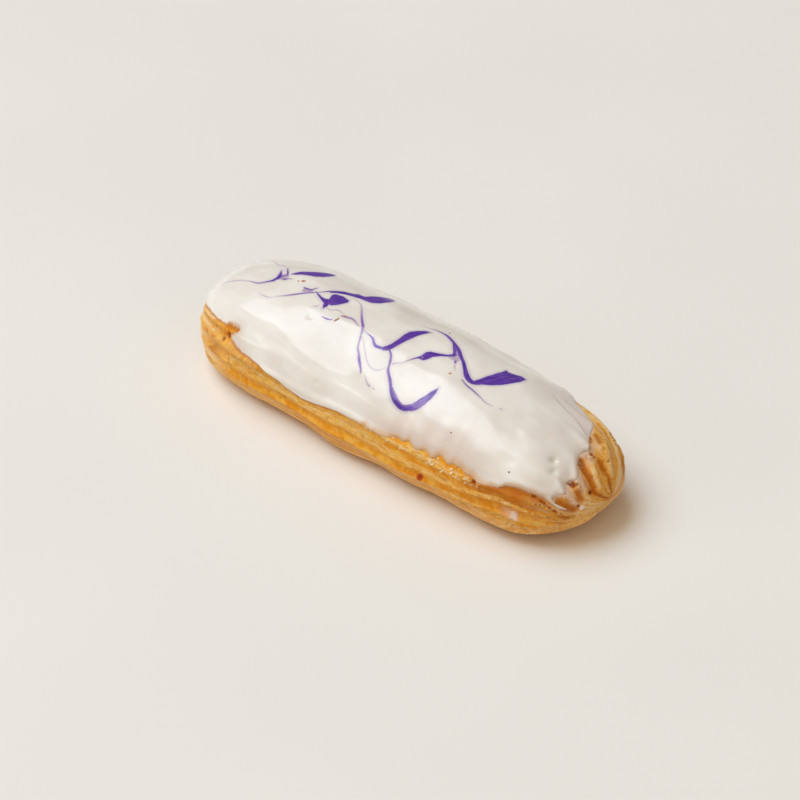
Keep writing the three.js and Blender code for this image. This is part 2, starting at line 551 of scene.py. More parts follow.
@dataclass(frozen=True)
class IcingEdge:
    """The line on the finger where the icing ends, as a height that changes round the finger.

    near_line gives it on the near side, as stops of along and height, and tip_line at the sloping tip, as
    stops of turn and along. tongue is a patch of bare crust inside it: spots of along, turn and radius.
    """

    loaf: Loaf
    near_line: Line = (
        (-74.0, 17.5), (-71.0, 17.9), (-66.0, 20.2), (-61.0, 21.4), (-54.5, 22.0), (-51.2, 22.0),
        (-49.6, 19.6), (-46.4, 18.7), (-41.0, 18.3), (-36.5, 17.5), (-31.5, 16.2), (-26.5, 14.6),
        (-20.5, 14.2), (-13.0, 14.9), (-6.5, 15.8), (-0.5, 16.0), (5.5, 16.8), (12.0, 17.1), (20.0, 17.3),
        (28.0, 17.8), (34.0, 18.2), (40.5, 18.2), (44.0, 17.4), (47.5, 17.2), (51.0, 17.5), (53.0, 18.5),
        (55.5, 18.9), (58.0, 18.5), (61.0, 18.0), (63.0, 17.4), (65.0, 16.0), (67.0, 14.5),
    )
    tip_line: Line = (
        (20.0, 36.0), (33.0, 45.0), (39.0, 48.0), (43.0, 52.8), (47.0, 55.6), (55.0, 58.6), (64.0, 60.8),
        (72.0, 62.4), (82.0, 63.6), (93.0, 63.9), (103.0, 64.8), (112.0, 66.7), (118.0, 66.6),
        (126.0, 65.8), (138.0, 66.7), (145.0, 65.8), (151.0, 64.6), (157.0, 65.6), (180.0, 73.0),
    )
    far: float = 22.2
    # The scallops of the far side: how deep, how close together and where they start.
    far_scallops: Triple = (0.4, 0.52, 0.8)
    # Where across the finger the near side's line gives way to the far side's.
    across: Span = Span(-13.0, 3.0)
    tip_slope: float = 1.2
    # How far the icing runs down the crests at the tip, and at which share of a crest it is level.
    fingers: float = 0.7
    finger_level: float = 0.4
    bite_breadth: float = 1.4
    near_bites: tuple[Sag, ...] = (
        Sag(5.1, 1.4, -0.7), Sag(16.2, 2.4, -1.2), Sag(20.4, 1.6, -1.4), Sag(26.2, 2.2, -1.1),
        Sag(32.3, 2.4, -1.5), Sag(36.4, 1.4, -1.2), Sag(38.8, 1.2, -1.0),
    )
    tongue: Stops = (
        (-52.0, 148.5, 1.9), (-50.2, 147.0, 1.3), (-48.7, 145.5, 0.8),
    )
    far_sags: tuple[Sag, ...] = (
        Sag(-72.0, 14.0, 3.8), Sag(-34.0, 12.0, 1.9), Sag(8.0, 14.0, 2.6), Sag(50.0, 12.0, 1.6),
    )
    # Where the edge is loose and frayed: along the finger and across it.
    loose_start: Span = Span(0.0, 8.0)
    loose_stop: Span = Span(48.0, 40.0)
    loose_side: Span = Span(-8.0, -14.0)
    frays: tuple[Fray, ...] = (
        Fray(0.22, 0.25, Texture(Seed.EDGE, (3.1, 3.1, 3.1))),
        Fray(0.1, 0.25, Texture(Seed.EDGE, (1.3, 1.3, 1.3), shift=31.0)),
    )
    # How the near side's line is smoothed where only its slow turns count.
    line_end: float = 90.0
    line_step: float = 0.5
    blur: float = 7.0
    blur_steps: int = 32

    def far_line(self, x: Array) -> Array:
        """Height of the edge on the far side, without its scallops."""
        return self.far - sum(sag.drop * bump(x - sag.along, sag.reach) for sag in self.far_sags)

    def bites(self, x: Array) -> Array:
        """Sums up the round bites out of the near edge.

        Args:
            x: Places along the finger, in millimetres.

        Returns:
            The height at each place, in millimetres.
        """
        total = np.zeros(len(x))
        for bite in self.near_bites:
            share = np.clip(1.0 - np.abs(x - bite.along) / (self.bite_breadth * bite.reach), 0.0, 1.0)
            total += bite.drop * ease(share)
        return total

    def coarse(self, places: Places) -> Array:
        """Height above the icing's edge without the edge's small turns, in millimetres.

        Args:
            places: Where to read it.

        Returns:
            The height at each place.
        """
        x = places.x
        stations = np.arange(-self.line_end, self.line_end, self.line_step)
        weights = bump(np.arange(-self.blur_steps, self.blur_steps + 1) * self.line_step, self.blur)
        line = np.pad(np.interp(stations, *np.array(self.near_line).T), self.blur_steps, "edge")
        near = np.interp(x, stations, np.convolve(line, weights / weights.sum(), "valid"))
        height = near + (self.far_line(x) - near) * self.across(places.y)
        tip = np.interp(places.degrees, *np.array(self.tip_line).T)
        return np.minimum(places.z - height, self.tip_slope * (tip - x))

    def inside(self, places: Places, crest: Array) -> Array:
        """Height above the icing's edge: positive under the icing, negative on bare crust.

        Args:
            places: Where to read it.
            crest: How far a crest stands out there.

        Returns:
            The height at each place, in millimetres.
        """
        x, y, z = places.bare.T
        near = np.interp(x, *np.array(self.near_line).T) - self.bites(x)
        depth, closeness, start = self.far_scallops
        far = self.far_line(x) + depth * np.sin(closeness * x + start)
        height = near + (far - near) * self.across(y)
        tip = np.interp(places.degrees, *np.array(self.tip_line).T)
        tip += self.fingers * (crest - self.finger_level)
        inside = np.minimum(z - height, self.tip_slope * (tip - x))
        for along, turn, radius in self.tongue:
            inside = np.minimum(inside, places.distance(self.loaf.spot(along, turn).bare) - radius)
        loose = self.loose_start(x) * self.loose_stop(x) * self.loose_side(y)
        return inside - sum((fray.depth + fray.extra * loose) * fray.noise(places) for fray in self.frays)


@dataclass(frozen=True)
class Hole:
    """A dent, stain or swelling: along in mm, turn in degrees, radius and depth in mm, and how dark."""

    along: float
    turn: float
    radius: float
    depth: float
    dark: float = 1.0


def groove(*stops: Hole, steps: int = 6) -> tuple[Hole, ...]:
    """Joins dents to a groove: a close row of dents that runs through them.

    Args:
        stops: The dents to run through.
        steps: How many dents there are from each of them to the next.

    Returns:
        The row.
    """
    numbers = np.array([astuple(stop) for stop in stops])
    row = np.linspace(0.0, len(stops) - 1.0, steps * (len(stops) - 1) + 1)
    columns = [np.interp(row, np.arange(len(stops)), column) for column in numbers.T]
    return tuple(Hole(*values) for values in np.column_stack(columns))


def dents(places: Places, loaf: Loaf, holes: tuple[Hole, ...]) -> tuple[Array, Array]:
    """Works out round dents at given spots. Those that overlap run together, and swellings add up.

    Args:
        places: Where to read them.
        loaf: The finger that they are on.
        holes: The dents.

    Returns:
        The depth at each place, and how dark it is there.
    """
    depth = np.zeros(len(places.turn))
    dark = np.zeros(len(places.turn))
    for hole in holes:
        away = places.distance(loaf.spot(hole.along, hole.turn).bare)
        here = bump(away, hole.radius) ** DENT_ROUNDNESS
        if hole.depth < 0.0:
            depth = depth + hole.depth * here
        else:
            depth = np.maximum(depth, hole.depth * here)
        dark = np.maximum(dark, hole.dark * here)
    return depth, dark


class Field:
    """A number that changes over a surface: one socket, with Python's operators as Math nodes."""

    def __init__(self, paint: "Paint", socket: Socket) -> None:
        """Wraps an output socket of a material's nodes."""
        self.paint = paint
        self.socket = socket

    def __add__(self, other: "Field | float") -> "Field":
        """Adds."""
        return self.paint.math("ADD", self, other)

    def __sub__(self, other: "Field | float") -> "Field":
        """Takes away."""
        return self.paint.math("SUBTRACT", self, other)

    def __rsub__(self, other: float) -> "Field":
        """Takes this from a number."""
        return self.paint.math("SUBTRACT", other, self)

    def __mul__(self, other: "Field | float") -> "Field":
        """Multiplies."""
        return self.paint.math("MULTIPLY", self, other)

    __radd__ = __add__
    __rmul__ = __mul__

    def most(self, other: "Field | float") -> "Field":
        """The larger of two numbers."""
        return self.paint.math("MAXIMUM", self, other)

    def step(self, low: float, high: float) -> "Field":
        """Rises smoothly from 0 to 1, or falls where high is the smaller.

        Args:
            low: Where the result is 0.
            high: Where it is 1.

        Returns:
            The result.
        """
        settings = {"interpolation_type": "SMOOTHSTEP"}
        if low < high:
            sockets = {"Value": self, "From Min": low, "From Max": high}
        else:
            sockets = {"Value": self, "From Min": high, "From Max": low, "To Min": 1.0, "To Max": 0.0}
        return self.paint.field("ShaderNodeMapRange", settings, sockets, "Result")


class Paint:
    """A material in the making: its nodes, and the shader that they feed."""

    def __init__(self, name: str, ground: Colour, **constants: float | tuple) -> None:
        """Starts a material whose shader has some sockets set all over.

        Args:
            name: The material's name.
            ground: The colour that all others are laid over.
            **constants: Values of the shader's sockets, with underscores for spaces.
        """
        self.material = bpy.data.materials.new(name)
        self.material.use_nodes = True
        self.tree = self.material.node_tree
        self.shader = self.tree.nodes["Principled BSDF"]
        self.colour: Colour | Socket = ground
        for socket, value in constants.items():
            self.shader.inputs[socket.replace("_", " ")].default_value = value

    def node(self, kind: str, settings: dict, sockets: dict) -> bpy.types.Node:
        """Adds any node.

        Args:
            kind: The node's type.
            settings: Its own settings, which are set first.
            sockets: Values or links of its sockets, by name or number.

        Returns:
            The node.
        """
        made = self.tree.nodes.new(kind)
        for name, value in settings.items():
            setattr(made, name, value)
        for name, value in sockets.items():
            self.feed(made.inputs[name], value)
        return made

    def feed(self, socket: Socket, value: object) -> None:
        """Links a socket to a field or another socket, or sets its value.

        Args:
            socket: The socket.
            value: What it gets.
        """
        if isinstance(value, Field):
            value = value.socket
        if isinstance(value, Socket):
            self.tree.links.new(value, socket)
        elif isinstance(value, tuple) and socket.type == "RGBA":
            socket.default_value = (*value, 1.0)
        else:
            socket.default_value = value

    def field(self, kind: str, settings: dict, sockets: dict, output: str | int) -> Field:
        """Adds any node and wraps one of its outputs as a field."""
        return Field(self, self.node(kind, settings, sockets).outputs[output])

    def math(self, operation: str, first: "Field | float", second: "Field | float") -> Field:
        """Adds a Math node on two values."""
        return self.field("ShaderNodeMath", {"operation": operation}, {0: first, 1: second}, 0)

    def attribute(self, name: str) -> Field:
        """Reads a number that the mesh holds at each vertex."""
        return self.field("ShaderNodeAttribute", {"attribute_name": name}, {}, "Fac")

    def vector(self, name: str) -> Socket:
        """Reads a vector that the mesh holds at each vertex."""
        return self.node("ShaderNodeAttribute", {"attribute_name": name}, {}).outputs["Vector"]

    def stretched(self, vector: Socket, scale: tuple) -> Socket:
        """Scales a vector by its own factor along each axis."""
        sockets = {"Vector": vector, "Scale": scale}
        return self.node("ShaderNodeMapping", {}, sockets).outputs["Vector"]

    def noise(self, vector: Socket, scale: float, detail: float = 2.0) -> Field:
        """Soft noise, mostly between 0.3 and 0.7."""
        sockets = {"Vector": vector, "Scale": scale, "Detail": detail}
        return self.field("ShaderNodeTexNoise", {}, sockets, "Fac")

    def cells(self, vector: Socket, scale: float) -> Field:
        """Distance to the nearest of many scattered points."""
        return self.field("ShaderNodeTexVoronoi", {}, {"Vector": vector, "Scale": scale}, "Distance")

    def mix(self, share: "Field | float", first: object, second: object) -> Socket:
        """Mixes two colours, or sockets that give them, by the second's share."""
        sockets = {"Factor": share, 6: first, 7: second}
        return self.node("ShaderNodeMix", {"data_type": "RGBA"}, sockets).outputs[2]

    def coat(self, share: "Field | float", colour: object) -> None:
        """Lays a colour over what was painted so far, as thick as its share."""
        self.colour = self.mix(share, self.colour, colour)

    def bumps(self, height: Field, strength: float, depth: float) -> None:
        """Feeds the shader's normal with fine relief whose height of 1 stands for a depth in metres."""
        sockets = {"Height": height, "Strength": strength, "Distance": depth}
        self.feed(self.shader.inputs["Normal"], self.node("ShaderNodeBump", {}, sockets).outputs[0])

    def finish(self, roughness: "Field | float") -> bpy.types.Material:
        """Feeds the painted colour and a roughness to the shader.

        Args:
            roughness: How rough the surface is, from 0 to 1.

        Returns:
            The finished material.
        """
        self.feed(self.shader.inputs["Base Color"], self.colour)
        self.feed(self.shader.inputs["Roughness"], roughness)
        return self.material


class CrustPaint(Paint):
    """The crust in the making, with noises that run along the ribs and values that the mesh holds."""

    def __init__(self, look: "CrustFinish") -> None:
        """Starts the material, makes the noises and reads the values.

        Args:
            look: The finish that it is for.
        """
        super().__init__(
            "baked_choux",
            look.band,
            Specular_IOR_Level=0.18,
            Subsurface_Weight=0.1,
            Subsurface_Scale=0.001,
            Subsurface_Radius=(1.0, 0.5, 0.2),
        )
        self.look = look
        flow = self.vector("flow")
        self.fibre = self.noise(self.stretched(flow, (0.14, 1.0, 1.0)), 1.9, detail=4.0)
        self.thread = self.noise(self.stretched(flow, (0.18, 1.1, 1.1)), 2.1, detail=3.0)
        self.mottle = self.noise(self.stretched(flow, (0.7, 1.0, 1.0)), 0.9, detail=4.0)
        self.blotch = self.noise(self.stretched(flow, (0.45, 1.0, 1.0)), 0.42, detail=3.0)
        self.bark = self.noise(self.stretched(flow, (1.0, 0.45, 0.45)), 0.85, detail=4.0)
        self.layers = self.noise(self.stretched(flow, (0.03, 1.0, 1.0)), 1.3, detail=2.0)
        self.speckle = self.noise(flow, 2.4, detail=3.0)
        self.dots = self.cells(self.stretched(flow, (0.5, 1.0, 1.0)), 0.85)
        pores = self.cells(self.stretched(flow, (0.75, 1.5, 1.5)), 1.0)
        self.stripe = self.attribute("stripe")
        self.tip = self.attribute("tip")
        self.film = self.attribute("film")
        self.torn = self.stripe.step(0.05, 0.6) * (0.3 + 0.7 * self.fibre.step(0.34, 0.6))
        self.lines = self.thread.step(0.42, 0.33) * self.stripe.step(0.05, 0.35)
        # The pores in the flanks: dented, and painted dark as shade.
        self.pricks = pores.step(0.3, 0.16) * self.attribute("flank")

    def dough(self) -> None:
        """Paints the bands: golden, paler at the blunt tip, tan and ridged at both, and toasted above."""
        mottle, blotch, bark = self.mottle, self.blotch, self.bark
        ridged = self.attribute("ridge") + mottle
        self.coat(blotch.step(0.36, 0.54), self.look.deep)
        self.coat(mottle.step(0.54, 0.74) * 0.4, self.look.honey)
        self.coat(bark.step(0.52, 0.64) * 0.4, self.look.honey)
        self.coat(bark.step(0.44, 0.34) * 0.3, self.look.toasted)
        self.coat(self.attribute("pale") * mottle.step(0.2, 0.6), self.look.pale)
        self.coat(self.tip * mottle.step(0.3, 0.6) * 0.9, self.look.tan)
        self.coat(self.tip * ridged.step(0.4, 0.05) * 0.85, self.look.toasted)
        self.coat(self.tip * ridged.step(0.62, 0.95) * 0.75, self.look.thread)
        self.coat(self.attribute("toast") * (0.35 + 0.5 * blotch + 0.3 * bark), self.look.toasted)

    def crests(self) -> None:
        """Paints the torn stripes and the loose flakes."""
        flake = self.attribute("flake") + (self.mottle - 0.5) * 0.5
        self.coat(self.torn * 0.88, self.look.crest)
        self.coat(self.torn * self.thread.step(0.52, 0.66) * 0.8, self.look.thread)
        self.coat(flake.step(0.05, 0.25) * 0.35, self.look.brown)
        self.coat(flake.step(0.3, 0.45) * (0.35 + 0.55 * flake.step(0.75, 0.5)), self.look.pale)

    def foot_layers(self) -> None:
        """Paints the pale foot, in thin layers, and at the sloping tip a lighter, warmer foot as painted
        bounce light.
        """
        foot = self.attribute("foot")
        at_tip = foot * self.tip
        fibre, thread, mottle, layers = self.fibre, self.thread, self.mottle, self.layers
        self.coat(foot * 0.85, self.mix(thread.step(0.4, 0.62), self.look.tan, self.look.foot))
        self.coat(foot * layers.step(0.47, 0.36) * 0.4, self.look.thread)
        self.coat(foot * layers.step(0.52, 0.62) * 0.35, self.look.brown)
        # Painted bounce light: the foot of the sloping tip is made lighter and warmer.
        self.coat(at_tip * (0.3 + fibre.step(0.36, 0.58) * 0.65), self.look.warm)
        self.coat(at_tip * thread.step(0.56, 0.66) * 0.5, self.look.thread)
        self.coat(at_tip * mottle.step(0.44, 0.32) * 0.5, self.look.brown)

    def seams(self) -> None:
        """Paints the seams, the grey flecks and the dark lines in the stripes."""
        stripe = self.stripe
        self.coat(stripe.step(0.02, 0.3) * self.layers.step(0.52, 0.6) * 0.5, self.look.deep)
        grey = self.dots.step(0.3, 0.18) * stripe.step(0.1, 0.4) * self.speckle.step(0.46, 0.6)
        self.coat(grey.most(self.torn * self.fibre.step(0.62, 0.72)) * 0.65, self.look.olive)
        self.coat(self.lines * 0.45, self.look.toasted)

    def marks(self) -> None:
        """Paints the dark line below the icing (painted shadow of its edge, on crust baked darker there),
        smeared icing, painted shade in holes and pores, and the scorched spot.
        """
        hole_shade = self.attribute("hole_shade")
        ember = self.attribute("ember") + (self.speckle - 0.5) * 0.6
        # Painted shadow under the icing's edge, over crust that is baked darker there.
        self.coat(self.attribute("below").step(0.7, 0.05) * 0.8, self.look.toasted)
        self.coat(self.film * (0.4 + 1.2 * self.speckle), self.look.film)
        # Painted shade inside the holes, grooves and cracks, darkest in the deepest, and in the flank
        # pores.
        self.coat(hole_shade.step(0.05, 0.45) * 0.9, self.look.toasted)
        self.coat(hole_shade.step(0.45, 0.95).most(self.pricks), self.look.burnt_and_hole_shade)
        self.coat(ember.step(0.2, 0.5), self.look.ember)
        self.coat(ember.step(0.6, 1.1) * 0.7, self.look.burnt_and_hole_shade)


@dataclass(frozen=True)
class CrustFinish:
    """Baked choux: golden bands, pale torn crests, a paler foot and darker dough beside the icing."""

    band: Colour = seen(244, 182, 62)
    deep: Colour = seen(236, 154, 14)
    honey: Colour = seen(242, 192, 98)
    pale: Colour = seen(240, 192, 116)
    tan: Colour = seen(226, 168, 88)
    crest: Colour = seen(232, 186, 102)
    thread: Colour = seen(244, 212, 158)
    # warm: painted bounce light on the foot of the sloping tip.
    warm: Colour = seen(255, 198, 112)
    olive: Colour = seen(174, 122, 46)
    foot: Colour = seen(236, 184, 122)
    brown: Colour = seen(196, 122, 50)
    # The scorched spot's colour, also used as the painted shade deep in holes and pores.
    burnt_and_hole_shade: Colour = seen(112, 50, 6)
    # toasted also paints the shadow under the icing's edge and the shade in shallow holes.
    toasted: Colour = seen(186, 98, 8)
    film: Colour = seen(234, 210, 194)
    ember: Colour = seen(206, 84, 12)

    def make(self) -> bpy.types.Material:
        """Makes the material.

        Returns:
            The finished material.
        """
        paint = CrustPaint(self)
        for layer in (paint.dough, paint.crests, paint.foot_layers, paint.seams, paint.marks):
            layer()
        relief = paint.fibre * (0.2 + 0.8 * paint.stripe) + 0.5 * paint.mottle + 0.3 * paint.speckle
        paint.bumps(relief - 0.5 * paint.lines - 1.4 * paint.pricks, 0.6, 0.0005)
        return paint.finish(0.4 + 0.2 * paint.torn + 0.12 * paint.mottle - 0.18 * paint.film)


@dataclass(frozen=True)
class IcingFinish:
    """Set white icing with a wet gloss: it thins to the crust's colour at its edge, with purple in it."""

    white: Colour = seen(244, 238, 229)
    shade: Colour = seen(236, 228, 218)
    sheer: Colour = seen(222, 184, 146)
    blush: Colour = seen(218, 195, 179)
    film: Colour = seen(224, 212, 204)
    mauve: Colour = seen(178, 148, 180)
    lilac: Colour = seen(146, 112, 182)
    violet: Colour = seen(102, 66, 168)
    indigo: Colour = seen(78, 42, 148)

    def make(self) -> bpy.types.Material:
        """Makes the material.

        Returns:
            The finished material.
        """
        paint = Paint(
            "glossy_icing",
            self.white,
            IOR=1.5,
            Subsurface_Weight=0.15,
            Subsurface_Scale=0.0008,
            Subsurface_Radius=(1.0, 0.7, 0.45),
        )
        flow = paint.vector("flow")
        cloud = paint.noise(paint.stretched(flow, (0.6, 1.0, 1.0)), 0.14, detail=3.0)
        ragged = paint.noise(flow, 1.6, detail=3.0)
        blush = paint.attribute("blush")
        sheer = paint.attribute("sheer") + (ragged - 0.5) * 0.3
        paint.coat(cloud.step(0.36, 0.66), self.shade)
        paint.coat(blush, self.blush)
        paint.coat(paint.attribute("skirt"), self.film)
        paint.coat(sheer.step(0.1, 0.95), self.sheer)
        self.purple(paint, ragged)
        return paint.finish(0.1 + 0.07 * cloud + 0.22 * blush)

    def purple(self, paint: Paint, ragged: Field) -> None:
        """Paints the drawn purple: streaked along each mark, and paler at its edge and where it is thin.

        Args:
            paint: The material in the making.
            ragged: The noise that roughens a mark's edge.
        """
        edge = paint.attribute("ink_edge")
        depth = paint.attribute("ink_depth")
        streak = paint.noise(paint.stretched(paint.vector("ink_flow"), (0.3, 2.4, 1.0)), 1.0, detail=3.0)
        cover = (edge + (ragged - 0.5) * 0.16).step(-0.2, 0.16)
        halo = edge.step(-1.3, 0.05) * depth * 0.26
        dark = depth + (streak - 0.5) * 1.2 - edge.step(0.45, -0.1) * 0.3
        ink = paint.mix(depth.step(0.25, 0.5), self.mauve, self.lilac)
        ink = paint.mix(dark.step(0.4, 0.8), ink, self.violet)
        ink = paint.mix(dark.step(0.85, 1.15) * 0.8, ink, self.indigo)
        ink = paint.mix(streak.step(0.45, 0.34) * 0.4, ink, self.lilac)
        paint.coat((cover * depth.step(0.0, 0.5)).most(halo), ink)


@dataclass(frozen=True)
class CrumbFinish:
    """Grains, crumbs, specks and dabs: one colour, speckled with a paler one."""

    name: str
    dark: Colour
    pale: Colour
    roughness: float

    def make(self) -> bpy.types.Material:
        """Makes the material.

        Returns:
            The finished material.
        """
        paint = Paint(self.name, self.dark, Subsurface_Weight=0.1, Subsurface_Scale=0.0005)
        place = paint.node("ShaderNodeTexCoord", {}, {}).outputs["Object"]
        speckle = paint.noise(place, 1800.0, detail=3.0)
        paint.coat(speckle.step(0.35, 0.65), self.pale)
        paint.bumps(speckle, 0.4, 0.0002)
        return paint.finish(self.roughness + 0.15 * speckle)


@dataclass(frozen=True)
class FloorFinish:
    """A plain pale floor with a soft, barely uneven surface."""

    pale: Colour = seen(243, 239, 232)
    shade: Colour = seen(240, 236, 229)
    roughness: float = 0.55

    def make(self) -> bpy.types.Material:
        """Makes the material.

        Returns:
            The finished material.
        """
        paint = Paint("pale_floor", self.pale)
        place = paint.node("ShaderNodeTexCoord", {}, {}).outputs["Object"]
        paint.coat(paint.noise(place, 6.0).step(0.35, 0.65), self.shade)
        return paint.finish(self.roughness)


def ball(around: int, along: int) -> bmesh.types.BMesh:
    """A ball of radius 1 with its poles on X.

    Args:
        around: How many faces there are round it.
        along: How many there are from pole to pole.

    Returns:
        The ball.
    """
    made = bmesh.new()
    turned = Matrix.Rotation(pi / 2.0, 4, "Y")
    bmesh.ops.create_uvsphere(made, u_segments=around, v_segments=along, radius=1.0, matrix=turned)
    return made


def coordinates(verts: Iterable[bmesh.types.BMVert | bpy.types.MeshVertex]) -> Array:
    """The places of vertices as rows of coordinates."""
    return np.array([vert.co[:] for vert in verts])


def piece(mesh: bmesh.types.BMesh, name: str, material: bpy.types.Material) -> bpy.types.Object:
    """Turns a mesh into an object of the scene that moves with the finger.

    Args:
        mesh: The mesh, which is used up.
        name: The object's name.
        material: Its finish.

    Returns:
        The object.
    """
    data = bpy.data.meshes.new(name)
    mesh.to_mesh(data)
    mesh.free()
    data.materials.append(material)
    data.shade_smooth()
    made = bpy.data.objects.new(name, data)
    bpy.context.scene.collection.objects.link(made)
    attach(made, BODY)
    LOG.info("%s has %d vertices", name, len(data.vertices))
    return made


def hold(target: bpy.types.Object, values: dict[str, Array]) -> None:
    """Stores numbers or vectors at the vertices of an object, for its material to read.

    Args:
        target: The object.
        values: An array for each name, with one row for each vertex.
    """
    for name, rows in values.items():
        vector = rows.ndim == 2
        layer = target.data.attributes.new(name, "FLOAT_VECTOR" if vector else "FLOAT", "POINT")
        layer.data.foreach_set("vector" if vector else "value", rows.astype(np.float32).ravel())


def place_vertices(target: bpy.types.Object, points: Array) -> None:
    """Moves the vertices of an object to points given in millimetres."""
    target.data.vertices.foreach_set("co", (points * METRES).astype(np.float32).ravel())
    target.data.update()


@dataclass(frozen=True)
class Film:
    """The film of icing on the crust below the edge, with a veil at the tip that runs down the crests."""

    veiled: Span = Span(158.0, 146.0)
    reach: float = 0.4
    veil_reach: float = 2.6
    crest_reach: float = 3.0
    strength: float = 0.15
    veil_strength: float = 0.65
    # How fast the film is lost where a hole is dark.
    hole_loss: float = 2.2

    def share(self, places: Places, near_tip: Array, crest: Array, below: Array, dark: Array) -> Array:
        """Works out how much of the film there is.

        Args:
            places: The vertices' places.
            near_tip: How far they belong to the sloping tip.
            crest: How far they lie on a crest.
            below: How far they lie below the icing's edge, in millimetres.
            dark: How dark the holes are there.

        Returns:
            The share at each vertex.
        """
        veil = near_tip * self.veiled(places.degrees)
        reach = self.reach + veil * (self.veil_reach + self.crest_reach * crest)
        film = smooth(below / reach, 1.0, 0.0) * (self.strength + self.veil_strength * veil)
        return film * (1.0 - np.minimum(1.0, self.hole_loss * dark))


@dataclass(frozen=True)
class Browning:
    """Where the side of the finger is toasted, by turns in degrees and by millimetres along it."""

    least: float = 0.35
    above: Span = Span(177.0, 171.0)
    end: Span = Span(200.0, 190.0)
    facing: Span = Span(-0.2, -0.8)
    start: Span = Span(36.0, 48.0)
    stop: Span = Span(72.0, 60.0)

    def share(self, places: Places) -> Array:
        """How toasted the crust is, from 0 to 1."""
        side = (self.least + (1.0 - self.least) * self.above(places.degrees)) * self.end(places.degrees)
        return self.start(places.x) * (side * self.facing(np.cos(places.turn))) * self.stop(places.x)


@dataclass(frozen=True)
class TipBand:
    """Where the dough has the tan, ridged look of the tips, but for a golden patch on the near side."""

    golden: float = 0.75
    golden_turn: Span = Span(170.0, 178.0)
    golden_along: Span = Span(71.0, 64.0)
    # On the far side: by along, by the cosine of the turn and by height.
    far: tuple[Span, Span, Span] = (Span(42.0, 52.0), Span(0.2, 0.6), Span(8.0, 11.0))
    blunt: float = 0.9
    blunt_along: Span = Span(-50.0, -60.0)

    def share(self, places: Places, near_tip: Array) -> Array:
        """Works out how much of that look there is.

        Args:
            places: The vertices' places.
            near_tip: How far they belong to the sloping tip.

        Returns:
            The share at each vertex.
        """
        along, facing, height = self.far
        far_tip = along(places.x) * facing(np.cos(places.turn)) * height(places.z)
        golden = self.golden * self.golden_turn(places.degrees) * self.golden_along(places.x)
        blunt_tip = self.blunt * self.blunt_along(places.x)
        return np.maximum(np.maximum(near_tip * (1.0 - golden), far_tip), blunt_tip)


